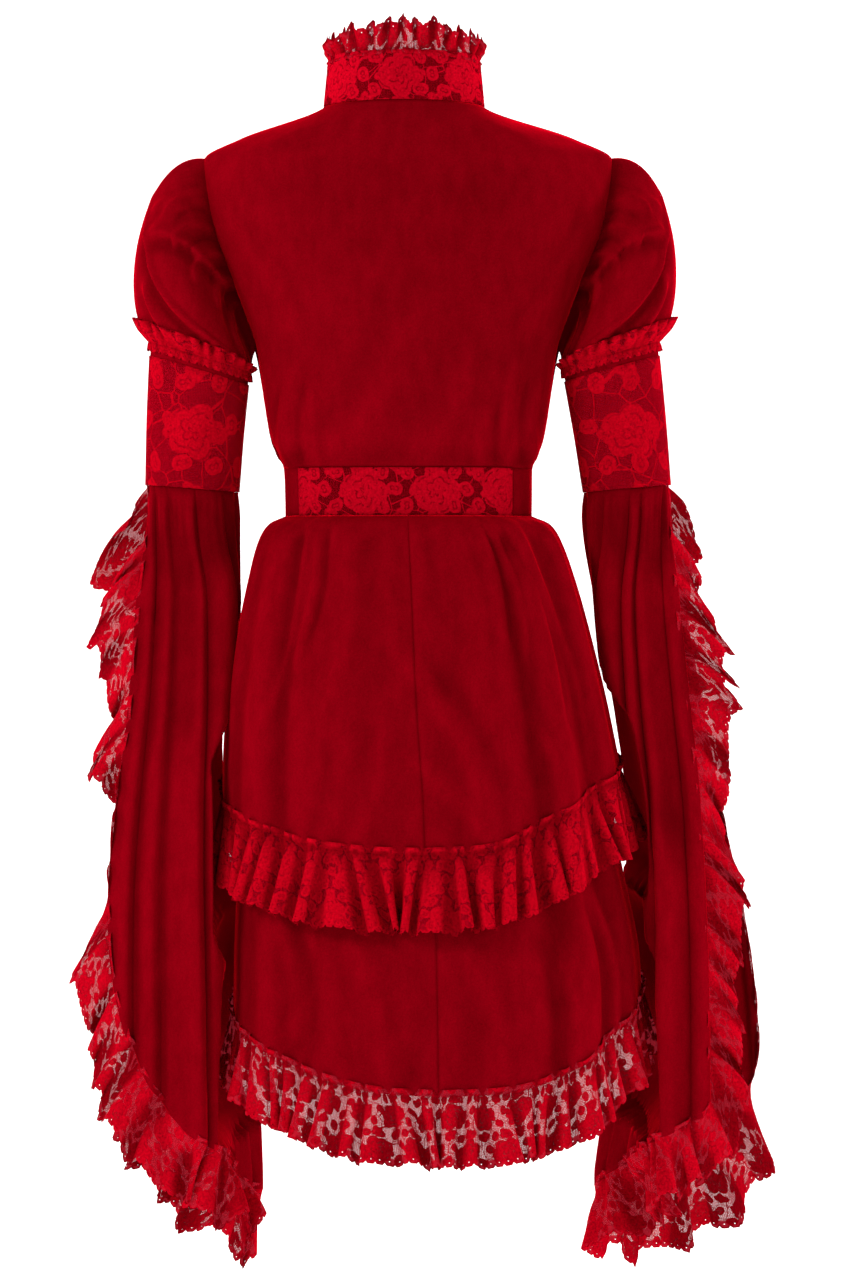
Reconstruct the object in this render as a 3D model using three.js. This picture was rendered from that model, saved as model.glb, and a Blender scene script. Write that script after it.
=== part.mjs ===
// Victorian jacket in red velvet and lace, worn form with no wearer. Millimetres, +Z up.
// The origin is the middle of the neck opening, the back faces -Y and the wearer's right is +X.
// Every piece is a wall of cloth, worked out from the tables of sizes below.
import * as THREE from 'three';

// Cloth and seams
const velvetWall = 2.0;
const laceWall = 1.2;
const seamGap = 0.3;
const overlayLift = velvetWall / 2 + seamGap + laceWall / 2;
const standClear = 1.2;

// Heights along the centre back
const waistbandTop = -368;
const waistbandFoot = -416;
const armpitHeight = -247;
const shoulderHeight = -57;
const neckHalf = 79;
const neckSide = -4;
const neckFrontDip = 34;
const formPower = 2.4;
const softShoulder = { drop: 0.35, from: 60, over: 60 };

// Form of the body by height: half width, depth behind and in front, and sideways shift of the middle
const bodice = [
  { z: 0, half: 76, back: 60, front: 34, middle: 0 },
  { z: -4, half: 79, back: 62, front: 40, middle: 0 },
  { z: -37, half: 168, back: 76, front: 62, middle: 3 },
  { z: -57, half: 204, back: 82, front: 76, middle: 4 },
  { z: -90, half: 203, back: 88, front: 92, middle: 4 },
  { z: -130, half: 195, back: 93, front: 107, middle: 4 },
  { z: -180, half: 174, back: 96, front: 117, middle: 3 },
  { z: -230, half: 155.5, back: 95, front: 117, middle: 3 },
  { z: -247, half: 150.5, back: 94, front: 114, middle: 3 },
  { z: -300, half: 143, back: 91, front: 105, middle: 3 },
  { z: -340, half: 136, back: 88, front: 97, middle: 3 },
  { z: -368, half: 124, back: 84, front: 91, middle: 4 },
  { z: -416, half: 123, back: 84, front: 91, middle: 4.5 },
];

// Edge of the armhole by height: half width at the seam
const armhole = [
  { z: -57, half: 203.5 },
  { z: -90, half: 195 },
  { z: -130, half: 184.5 },
  { z: -180, half: 165 },
  { z: -230, half: 153.5 },
  { z: -247, half: 150.5 },
];

// Form of the upper and the lower skirt tier by height
const upperSkirt = [
  { z: -416.6, half: 124, back: 86, front: 93, middle: 4.5 },
  { z: -424, half: 140, back: 99, front: 104, middle: 5 },
  { z: -440, half: 150.5, back: 110, front: 112, middle: 5.5 },
  { z: -480, half: 163.5, back: 126, front: 121, middle: 7.5 },
  { z: -540, half: 178, back: 140, front: 130, middle: 10 },
  { z: -620, half: 193, back: 152, front: 138, middle: 14 },
  { z: -690, half: 201, back: 160, front: 143, middle: 19 },
  { z: -760, half: 205, back: 166, front: 147, middle: 22 },
];
const lowerSkirt = [
  { z: -540, half: 166, back: 128, front: 118, middle: 10 },
  { z: -620, half: 180, back: 140, front: 126, middle: 14 },
  { z: -700, half: 188, back: 147, front: 130, middle: 19 },
  { z: -760, half: 192, back: 151, front: 133, middle: 25 },
  { z: -860, half: 203, back: 162, front: 142, middle: 33 },
  { z: -990, half: 207, back: 175, front: 151, middle: 35 },
];

// Rise of each hem seam above its lowest point, by turn round the body from the centre back
const upperHem = { foot: -752, rise: [
  { turn: 0, left: 0, right: 0 },
  { turn: 15, left: 2, right: 3 },
  { turn: 35, left: 10, right: 28 },
  { turn: 62, left: 34, right: 66 },
  { turn: 90, left: 62, right: 87 },
  { turn: 135, left: 112, right: 122 },
  { turn: 180, left: 150, right: 150 },
] };
const lowerHem = { foot: -990, rise: [
  { turn: 0, left: 0, right: 0 },
  { turn: 15, left: 3, right: 2 },
  { turn: 35, left: 18, right: 17 },
  { turn: 62, left: 50, right: 66 },
  { turn: 90, left: 84, right: 105 },
  { turn: 135, left: 132, right: 142 },
  { turn: 180, left: 165, right: 165 },
] };

// Folds of the skirt: where they run round the body, how wide they are and how far they stand out
const skirtFolds = [
  { turn: -72, width: 7, out: 5 },
  { turn: -57, width: 6, out: 6 },
  { turn: -45, width: 5, out: -5 },
  { turn: -25, width: 9, out: 3 },
  { turn: 21, width: 8, out: 3.5 },
  { turn: 36, width: 5, out: -5 },
  { turn: 46, width: 5, out: 6 },
  { turn: 57, width: 5, out: -4 },
  { turn: 68, width: 6, out: 6 },
];
const frontOpening = { top: 0.8, spread: 9 };

// Sleeves. Rings are given by their outer and inner ends in the plane of the back view.
// The bell is an open sheet from its near free edge, round the inner side, to its far free edge.
const sleeves = {
  left: {
    side: -1,
    bandTop: { outer: [-254, -240], inner: [-157, -272], y: 2, depth: 50 },
    bandFoot: { outer: [-259, -384], inner: [-168, -391], y: 16, depth: 42 },
    puff: { outTop: 62, liftTop: 6, startDeep: 62, footOut: 38, footDeep: 60, footLift: 30 },
    bell: [
      { z: -390, near: [-262, 4], fold: [-196, -26], inner: [-168, 18], lap: [-196, 56], far: [-262, 28] },
      { z: -500, near: [-269, -24], fold: [-176, -42], inner: [-170, 18], lap: [-178, 70], far: [-265, 66] },
      { z: -600, near: [-276, -44], fold: [-181, -66], inner: [-178, 20], lap: [-184, 80], far: [-268, 86] },
      { z: -700, near: [-287, -60], fold: [-188, -92], inner: [-200, 22], lap: [-190, 86], far: [-274, 96] },
      { z: -800, near: [-296, -66], fold: [-188, -98], inner: [-200, 24], lap: [-184, 90], far: [-282, 102] },
      { z: -900, near: [-298, -66], fold: [-188, -96], inner: [-194, 24], lap: [-176, 92], far: [-288, 106] },
      { z: -1080, near: [-298, -64], fold: [-190, -88], inner: [-178, 26], lap: [-162, 92], far: [-290, 108] },
    ],
    nearHem: { free: -812, foot: -1050, power: 1.8 },
    farHem: { free: -850, foot: -1076, power: 1.8 },
    farTurn: 50,
  },
  right: {
    side: 1,
    bandTop: { outer: [254, -240], inner: [161, -268], y: 2, depth: 48 },
    bandFoot: { outer: [267, -384], inner: [182, -391], y: 16, depth: 41 },
    puff: { outTop: 62, liftTop: 10, startDeep: 62, footOut: 37, footDeep: 60, footLift: 32 },
    bell: [
      { z: -390, near: [269, 4], fold: [210, -26], inner: [183, 18], lap: [210, 56], far: [270, 28] },
      { z: -500, near: [276, -24], fold: [201, -42], inner: [195, 18], lap: [204, 70], far: [284, 66] },
      { z: -600, near: [286, -38], fold: [212, -50], inner: [205, 22], lap: [212, 80], far: [301, 86] },
      { z: -700, near: [296, -46], fold: [234, -56], inner: [226, 24], lap: [222, 86], far: [320, 96] },
      { z: -800, near: [301, -60], fold: [250, -80], inner: [242, 26], lap: [228, 92], far: [340, 102] },
      { z: -900, near: [304, -62], fold: [254, -84], inner: [246, 26], lap: [224, 94], far: [356, 106] },
      { z: -1080, near: [306, -62], fold: [253, -82], inner: [226, 28], lap: [203, 92], far: [368, 108] },
    ],
    nearHem: { free: -1004, foot: -1050, power: 1.4 },
    farHem: { free: -936, foot: -1090, power: 1.9 },
    farTurn: 75,
  },
};
const bellOpening = 0.26;
const bellPleats = { count: 8, top: 1.2, foot: 9, share: 0.7, turnHalf: 0.22, turnShare: 0.55 };
const bellShare = { near: 0.3, far: 0.34 };
const skirtClear = 9;
const ruffleClear = 27;
const ruffleReach = { above: 100, below: 80, ramp: 50 };
const bellTurnIn = 110;
const bellEdgeGap = 0.4;
const bellCornerGap = 2;

// Gathered lace: waves in all, depth below the seam, swing of the waves and lean away from the cloth
const gathers = {
  collar: { waves: 16, depth: 31, swing: 6, lean: 5 },
  upper: { waves: 38, depth: 78, swing: 8, lean: 10 },
  lower: { waves: 40, depth: 70, swing: 9, lean: 8 },
  bell: { waves: 28, depth: 56, swing: 11, droop: 0.6 },
  trim: { waves: 8, swing: 2, foot: 8 },
};
const columnsPerWave = 4;
// Frill over the foot of the puff: how far its seam, its foot and its top stand off the sleeve
const trimLift = { seam: 1.4, foot: 1.6, footSwing: 0.8, top: 2.2 };

// Puffs: middle that they swell round, how fast their fullness falls to the armpit, and their gathers
const puffForm = { middle: 203, fullness: 0.45, gathers: [1.6, 2.4] };
const puffRows = [0, 0.1, 0.27, 0.45, 0.63, 0.79, 0.91, 1];
const bandColumns = 16;

// Covered buttons down the overlap of the fronts
const button = { count: 6, radius: 6.5, height: 4.5, top: -75, foot: -335 };
const overlap = { under: 12, over: 9, step: 2.7 };

const velvetCloth = new THREE.MeshStandardMaterial({ color: 0x85010f, roughness: 0.85, metalness: 0 });
const laceCloth = new THREE.MeshStandardMaterial({ color: 0xa8041a, roughness: 0.7, metalness: 0 });

const group = new THREE.Group();

// Reads a column of a table at any value of its key, along a smooth curve that never overshoots
function read(table, key, value, column) {
  const down = table[0][key] > table[table.length - 1][key] ? -1 : 1;
  const x = table.map((row) => row[key] * down);
  const y = table.map((row) => row[column]);
  const at = Math.min(Math.max(value * down, x[0]), x[x.length - 1]);
  let i = 0;
  while (i < x.length - 2 && at > x[i + 1]) i += 1;
  const secant = (k) => (y[k + 1] - y[k]) / (x[k + 1] - x[k]);
  const slope = (k) => {
    if (k === 0) return secant(0);
    if (k === x.length - 1) return secant(k - 1);
    const before = secant(k - 1);
    const after = secant(k);
    return before * after > 0 ? (2 * before * after) / (before + after) : 0;
  };
  const span = x[i + 1] - x[i];
  const t = (at - x[i]) / span;
  const a = 2 * t ** 3 - 3 * t ** 2 + 1;
  const b = (t ** 3 - 2 * t ** 2 + t) * span;
  const c = (t ** 3 - t ** 2) * span;
  return a * y[i] + b * slope(i) + (1 - a) * y[i + 1] + c * slope(i + 1);
}

const mix = (a, b, t) => a + (b - a) * t;
const ease = (t) => THREE.MathUtils.smoothstep(t, 0, 1);
const steps = (count) => Array.from({ length: count + 1 }, (_, i) => i / count);

// Normals of a grid of points; a closed grid joins its last column to its first
function gridNormals(grid, closed) {
  const last = grid[0].length - 1;
  return grid.map((row, r) => row.map((_, c) => {
    const left = closed ? row[(c + last) % (last + 1)] : row[Math.max(c - 1, 0)];
    const right = closed ? row[(c + 1) % (last + 1)] : row[Math.min(c + 1, last)];
    const up = grid[Math.max(r - 1, 0)][c];
    const down = grid[Math.min(r + 1, grid.length - 1)][c];
    const along = new THREE.Vector3().subVectors(right, left);
    const across = new THREE.Vector3().subVectors(down, up);
    return along.cross(across).normalize();
  }));
}

// The same grid moved along its normals, which point out of the garment when side is set right
function movedOut(grid, distance, closed, side) {
  const normals = gridNormals(grid, closed);
  return grid.map((row, r) => row.map((p, c) => p.clone().addScaledVector(normals[r][c], distance * side)));
}

// A wall of cloth round a grid of points, closed at its edges, added to the group under its name.
// keep holds each point of the wall on its own side of a seam.
function addWall(name, grid, thickness, material, closed = false, keep = (p) => p) {
  const normals = gridNormals(grid, closed);
  const rows = grid.length;
  const columns = grid[0].length;
  const positions = [];
  for (const half of [thickness / 2, -thickness / 2]) {
    grid.forEach((row, r) => row.forEach((p, c) => {
      positions.push(...keep(p.clone().addScaledVector(normals[r][c], half)).toArray());
    }));
  }
  const at = (face, r, c) => (face * rows + r) * columns + (c % columns);
  const index = [];
  const quad = (a, b, c, d) => index.push(a, b, c, a, c, d);
  const spans = closed ? columns : columns - 1;
  for (let c = 0; c < spans; c += 1) {
    for (let r = 0; r < rows - 1; r += 1) {
      quad(at(0, r, c), at(0, r, c + 1), at(0, r + 1, c + 1), at(0, r + 1, c));
      quad(at(1, r, c), at(1, r + 1, c), at(1, r + 1, c + 1), at(1, r, c + 1));
    }
    quad(at(0, 0, c), at(1, 0, c), at(1, 0, c + 1), at(0, 0, c + 1));
    quad(at(0, rows - 1, c), at(0, rows - 1, c + 1), at(1, rows - 1, c + 1), at(1, rows - 1, c));
  }
  for (let r = 0; r < rows - 1 && !closed; r += 1) {
    quad(at(0, r, 0), at(0, r + 1, 0), at(1, r + 1, 0), at(1, r, 0));
    const end = columns - 1;
    quad(at(0, r, end), at(1, r, end), at(1, r + 1, end), at(0, r + 1, end));
  }
  const geometry = new THREE.BufferGeometry();
  geometry.setAttribute('position', new THREE.Float32BufferAttribute(positions, 3));
  geometry.setIndex(index);
  geometry.computeVertexNormals();
  const mesh = new THREE.Mesh(geometry, material);
  mesh.name = name;
  group.add(mesh);
  return grid;
}

// Plan of the body's form: how deep it is at a given sideways place, from 0 at the side to 1
function roundness(share) {
  return (1 - Math.min(Math.abs(share), 1) ** formPower) ** (1 / formPower);
}

// A point of the bodice at x and z, behind (facing -1) or in front (facing 1), soft at the shoulder
function bodicePoint(x, z, facing) {
  const half = read(bodice, 'z', z, 'half');
  const share = (x - read(bodice, 'z', z, 'middle')) / half;
  const depth = read(bodice, 'z', z, facing < 0 ? 'back' : 'front');
  const { drop, from, over } = softShoulder;
  const beyondNeck = ease((Math.abs(x) - from) / over);
  const belowRidge = ease((half - Math.abs(x) + Math.max(shoulderHeight - z, 0)) / over);
  const slope = 1 - drop * beyondNeck * (1 - belowRidge);
  return new THREE.Vector3(x, facing * depth * roundness(share) * slope, z);
}

// A point of a skirt tier at a turn in degrees from the centre back, with its folds
function skirtPoint(table, turn, z, folded) {
  const angle = THREE.MathUtils.degToRad(turn);
  const half = read(table, 'z', z, 'half');
  const depth = read(table, 'z', z, Math.abs(turn) < 90 ? 'back' : 'front');
  let out = 0;
  for (const fold of skirtFolds) {
    out += fold.out * Math.exp(-(((turn - fold.turn) / fold.width) ** 2));
  }
  out *= folded * ease((waistbandFoot - z) / 30);
  const deep = roundness(Math.sin(angle)) * Math.sign(Math.cos(angle));
  const way = new THREE.Vector3(Math.sin(angle) / half, -deep / depth, 0).normalize();
  return new THREE.Vector3(
    read(table, 'z', z, 'middle') + half * Math.sin(angle) + way.x * out,
    -depth * deep + way.y * out,
    z,
  );
}

function hemHeight(hem, turn) {
  return hem.foot + read(hem.rise, 'turn', Math.abs(turn), turn < 0 ? 'left' : 'right');
}

// Heights of the bodice's rows at its edges: side seam below the armpit, armhole above it
const edgeRows = [
  ...steps(3).slice(0, -1).map((t) => mix(waistbandTop + seamGap, armpitHeight, t)),
  ...steps(6).map((t) => mix(armpitHeight, shoulderHeight, t)),
];
const edgeHalf = (z) => read(z > armpitHeight ? armhole : bodice, 'z', z, 'half');
const upShare = (z) => ((z - edgeRows[0]) / (shoulderHeight - edgeRows[0])) ** 1.5;

// Top edge of a bodice panel from the shoulder point, by the neck point, to the centre
function topEdge(t, facing) {
  if (t < 0.5) {
    const z = mix(shoulderHeight, neckSide, t * 2);
    return { half: read(bodice, 'z', z, 'half'), z };
  }
  const angle = (t - 0.5) * Math.PI;
  const dip = facing < 0 ? neckSide * Math.cos(angle) ** 2 : neckSide - neckFrontDip * Math.sin(angle) ** 1.5;
  return { half: neckHalf * Math.cos(angle), z: dip };
}

// A point of a bodice panel: t runs from its side edge to the centre, z is the row's height at the edge
function panelPoint(t, rowHeight, side, facing, past) {
  const top = topEdge(t, facing);
  const share = upShare(rowHeight);
  const z = rowHeight + (top.z - shoulderHeight) * share;
  const edge = edgeHalf(rowHeight);
  const low = edge * Math.cos(t * Math.PI / 2);
  const high = top.half * (edge / edgeHalf(shoulderHeight));
  const across = past === null ? mix(low, mix(high, top.half, share), share) : past;
  return bodicePoint(read(bodice, 'z', z, 'middle') + side * across, z, facing);
}

// Behind and in front of the side and shoulder seams, which lie in the plane y = 0
function behindSeam(p) {
  p.y = Math.min(p.y, -seamGap / 2);
  return clearOfWaistband(p);
}
function inFrontOfSeam(p) {
  p.y = Math.max(p.y, seamGap / 2);
  return clearOfWaistband(p);
}
function clearOfWaistband(p) {
  if (p.z > (waistbandTop + waistbandFoot) / 2) p.z = Math.max(p.z, waistbandTop + seamGap);
  else p.z = Math.min(p.z, waistbandFoot - seamGap);
  return p;
}

// Back of the bodice, from the wearer's left side seam to the right one
const backHalf = steps(10);
const backGrid = edgeRows.map((z) => [
  ...backHalf.map((t) => panelPoint(t, z, -1, -1, null)),
  ...backHalf.slice(0, -1).reverse().map((t) => panelPoint(t, z, 1, -1, null)),
]);
addWall('bodice_back', backGrid, velvetWall, velvetCloth, false, behindSeam);

// Fronts of the bodice, which overlap down the centre; the left one lies under the right one
const frontShares = steps(8).slice(0, -1);
const frontGrids = {};
for (const side of [-1, 1]) {
  const grid = edgeRows.map((z) => {
    const row = frontShares.map((t) => panelPoint(t, z, side, 1, null));
    row.push(panelPoint(1, z, side, 1, overlap.under));
    row.push(panelPoint(1, z, side, 1, -overlap.over));
    if (side < 0) row.slice(-2).forEach((p) => { p.y -= overlap.step; });
    return row;
  });
  const name = side < 0 ? 'left' : 'right';
  frontGrids[name] = grid;
  addWall(`bodice_front_${name}`, grid, velvetWall, velvetCloth, false, inFrontOfSeam);
}

// Covered buttons, domes that sit on the right front
const overlapFace = frontGrids.right.map((row) => row.slice(-2));
const overlapNormals = gridNormals(overlapFace, false);
function onOverlap(z) {
  let r = 0;
  while (r < overlapFace.length - 2 && overlapFace[r + 1][0].z < z) r += 1;
  const t = (z - overlapFace[r][0].z) / (overlapFace[r + 1][0].z - overlapFace[r][0].z);
  const point = overlapFace[r][0].clone().lerp(overlapFace[r + 1][0], t);
  point.lerp(overlapFace[r][1].clone().lerp(overlapFace[r + 1][1], t), 0.5);
  const normal = overlapNormals[r][0].clone();
  return { point, normal: normal.multiplyScalar(Math.sign(normal.y)) };
}
for (let i = 0; i < button.count; i += 1) {
  const dome = new THREE.LatheGeometry([
    new THREE.Vector2(0, 0),
    new THREE.Vector2(button.radius * 0.8, 0),
    new THREE.Vector2(button.radius, button.height * 0.35),
    new THREE.Vector2(button.radius * 0.7, button.height * 0.8),
    new THREE.Vector2(0, button.height),
  ], 12);
  const mesh = new THREE.Mesh(dome, velvetCloth);
  mesh.name = `button_${i + 1}`;
  const seat = onOverlap(mix(button.top, button.foot, i / (button.count - 1)));
  mesh.position.copy(seat.point).addScaledVector(seat.normal, velvetWall / 2 + seamGap * 1.5);
  mesh.quaternion.setFromUnitVectors(new THREE.Vector3(0, 1, 0), seat.normal);
  group.add(mesh);
}

// Collar: the stand rises from the neckline's own points, from one front edge round to the other
const frontEdge = 1.6;
function neckFront(name, side) {
  const row = frontGrids[name].at(-1);
  const [under, over] = overlapFace.at(-1);
  const end = under.clone().lerp(over, (overlap.under - frontEdge) / (overlap.under + overlap.over));
  return [...row.slice(4, 8), end.setX(frontEdge * side)];
}
const neckline = [...neckFront('left', -1).reverse(), ...backGrid.at(-1).slice(6, -6), ...neckFront('right', 1)];
const collar = { height: 50, inward: 0.06, frontDrop: 10, frontSag: 3, frontDepth: 64 };
const collarGrid = [0, 0.5, 1].map((up) => neckline.map((p) => {
  const inward = 1 - collar.inward * up;
  const front = p.y > 0 ? p.y / collar.frontDepth : 0;
  const sag = collar.frontSag * up * (1 - up) * front;
  const height = standClear + (collar.height - collar.frontDrop * front) * up - sag;
  return new THREE.Vector3(p.x * inward, p.y * inward, p.z + height);
}));
for (const row of collarGrid) {
  row[0].x = -frontEdge;
  row.at(-1).x = frontEdge;
}
addWall('collar_stand', collarGrid, velvetWall, velvetCloth);
const collarLace = movedOut(collarGrid, overlayLift, false, 1);
addWall('collar_lace', collarLace, laceWall, laceCloth);

// Waistband in three sections, with lace over the back one
function bandRing(from, to, count, out) {
  return [waistbandTop, waistbandFoot].map((z) => steps(count).map((t) => {
    const angle = THREE.MathUtils.degToRad(mix(from, to, t));
    const half = read(bodice, 'z', z, 'half') + out;
    const depth = read(bodice, 'z', z, Math.cos(angle) > 0 ? 'back' : 'front') + out;
    const deep = roundness(Math.sin(angle)) * Math.sign(Math.cos(angle));
    return new THREE.Vector3(read(bodice, 'z', z, 'middle') + half * Math.sin(angle), -depth * deep, z);
  }));
}
const sectionGap = 0.2;
addWall('waistband_back', bandRing(-62, 57, 14, 0), velvetWall, velvetCloth);
addWall('waistband_left', bandRing(-179.6, -62 - sectionGap, 12, 0), velvetWall, velvetCloth);
addWall('waistband_right', bandRing(57 + sectionGap, 179.6, 12, 0), velvetWall, velvetCloth);
addWall('waistband_lace', bandRing(-61, 56, 14, overlayLift), laceWall, laceCloth);

// Gathered strip of lace along an edge. Each point of the edge has the way away from the cloth, the
// way the strip goes out from it, and a normal that its waves swing along.
const stripGap = seamGap + laceWall / 2;
function strip(edge, rows, waves, closed) {
  const lengths = [0];
  for (let i = 1; i < edge.length; i += 1) {
    lengths.push(lengths[i - 1] + edge[i].point.distanceTo(edge[i - 1].point));
  }
  const total = lengths.at(-1);
  const count = waves * columnsPerWave;
  const samples = Array.from({ length: closed ? count : count + 1 }, (_, k) => {
    const at = total * k / count;
    let i = 0;
    while (i < lengths.length - 2 && lengths[i + 1] < at) i += 1;
    const t = (at - lengths[i]) / (lengths[i + 1] - lengths[i]);
    const blend = (key) => edge[i][key].clone().lerp(edge[i + 1][key], t);
    const wave = Math.SQRT2 * Math.sin((k + 0.5) * 2 * Math.PI / columnsPerWave);
    const way = (key) => blend(key).normalize();
    return { point: blend('point'), away: way('away'), out: way('out'), normal: way('normal'), wave, at, total };
  });
  return rows.map((row) => samples.map((s) => {
    const share = row.grow ? row.grow(s) : 1;
    return s.point.clone()
      .addScaledVector(s.away, stripGap)
      .addScaledVector(s.out, row.out * share)
      .addScaledVector(s.normal, (row.lean + row.swing * s.wave) * share);
  }));
}

const level = (vector) => new THREE.Vector3(vector.x, vector.y, 0).normalize();
const awayFromBody = (point) => level(point);

// Collar ruffle, standing on the collar's top edge
const up = new THREE.Vector3(0, 0, 1);
const collarTop = collarGrid.at(-1).map((point) => ({
  point, away: up, out: up, normal: awayFromBody(point),
}));
addWall('collar_ruffle', strip(collarTop, [
  { out: 0, lean: 0, swing: 0 },
  { out: gathers.collar.depth, lean: gathers.collar.lean, swing: gathers.collar.swing },
], gathers.collar.waves, false), laceWall, laceCloth);

// Skirt tiers: back panels meet at the centre back seam, front panels leave the front open
const backTurns = steps(17);
const frontTurns = steps(9);
const seamTurn = 0.1;
function tierGrid(hem, pointOf, from, to, shares, rows) {
  return steps(rows).map((v) => shares.map((t) => {
    const opening = Math.abs(to) > 179 ? frontOpening.spread * v : 0;
    const turn = mix(from, to - Math.sign(to) * opening, t);
    const foot = hemHeight(hem, turn);
    return pointOf(turn, v, foot);
  }));
}
const panels = [
  { name: 'back_left', from: -seamTurn, to: -90 + seamTurn, shares: backTurns, rows: 6, keep: behindSeam },
  { name: 'back_right', from: seamTurn, to: 90 - seamTurn, shares: backTurns, rows: 6, keep: behindSeam },
  { name: 'front_left', from: -90 - seamTurn, to: -180 + frontOpening.top, shares: frontTurns, rows: 5, keep: inFrontOfSeam },
  { name: 'front_right', from: 90 + seamTurn, to: 180 - frontOpening.top, shares: frontTurns, rows: 5, keep: inFrontOfSeam },
];
const upperRows = (v) => v ** 1.25;
const upperGrids = {};
for (const panel of panels) {
  const grid = tierGrid(upperHem, (turn, v, foot) => (
    skirtPoint(upperSkirt, turn, mix(upperSkirt[0].z, foot, upperRows(v)), 1)
  ), panel.from, panel.to, panel.shares, panel.rows);
  upperGrids[panel.name] = grid;
  addWall(`upper_skirt_${panel.name}`, grid, velvetWall, velvetCloth, false, panel.keep);
}

// The lower tier starts inside the upper one, on its own points moved in, and drops below it
const tuckIn = velvetWall + seamGap * 2;
const lowerGrids = {};
for (const panel of panels) {
  const upper = upperGrids[panel.name];
  const inside = panel.to < 0 ? -1 : 1;
  const top = movedOut(upper, tuckIn, false, inside).at(-2);
  const grid = steps(panel.rows).map((v, r) => panel.shares.map((t, c) => {
    if (r === 0) return top[c];
    const turn = mix(panel.from, panel.to - (Math.abs(panel.to) > 179 ? Math.sign(panel.to) * frontOpening.spread : 0), t);
    const foot = hemHeight(lowerHem, turn);
    return skirtPoint(lowerSkirt, turn, mix(top[c].z, foot, v), 0.8);
  }));
  lowerGrids[panel.name] = grid;
  addWall(`lower_skirt_${panel.name}`, grid, velvetWall, velvetCloth, false, panel.keep);
}

// Ruffles on the two hems, from front edge to front edge
function hemEdge(grids) {
  const foot = (name) => grids[name].at(-1).map((point, c) => {
    const out = point.clone().sub(grids[name].at(-2)[c]).normalize().sub(up).normalize();
    return { point, away: out, out, normal: awayFromBody(point) };
  });
  return [
    ...foot('front_left').reverse(), ...foot('back_left').reverse(),
    ...foot('back_right'), ...foot('front_right'),
  ];
}
for (const [name, grids] of [['upper', upperGrids], ['lower', lowerGrids]]) {
  const size = gathers[name];
  addWall(`${name}_ruffle`, strip(hemEdge(grids), [
    { out: 0, lean: 0, swing: 0 },
    { out: size.depth, lean: size.lean, swing: size.swing },
  ], size.waves, false), laceWall, laceCloth);
}

// A point of a sleeve ring at an angle from its outer end, by the back to the inner end
function ringPoint(ring, angle) {
  const across = (k) => (ring.outer[k] + ring.inner[k]) / 2 + (ring.outer[k] - ring.inner[k]) / 2 * Math.cos(angle);
  return new THREE.Vector3(across(0), ring.y - ring.depth * Math.sin(angle), across(1));
}

// The skirt pushes a hanging sleeve aside, so that no point of the sleeve is inside it
function besideSkirt(point, side) {
  let reach = -Infinity;
  for (const [table, hem, depth] of [
    [upperSkirt, upperHem, gathers.upper.depth],
    [lowerSkirt, lowerHem, gathers.lower.depth],
  ]) {
    const deep = read(table, 'z', point.z, point.y < 0 ? 'back' : 'front') + ruffleClear;
    const turn = 90 + THREE.MathUtils.radToDeg(Math.asin(THREE.MathUtils.clamp(point.y / deep, -1, 1)));
    const seam = hemHeight(hem, side * turn);
    const foot = seam - depth - ruffleReach.below;
    const nearRuffle = ease((seam + ruffleReach.above - point.z) / ruffleReach.ramp)
      * ease((point.z - foot) / ruffleReach.ramp);
    const half = read(table, 'z', point.z, 'half') + mix(skirtClear, ruffleClear, nearRuffle);
    const present = point.z < waistbandFoot && point.z > foot;
    if (present) reach = Math.max(reach, half * roundness(point.y / deep) + side * read(table, 'z', point.z, 'middle'));
  }
  return side * Math.max(side * point.x, reach);
}

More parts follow.
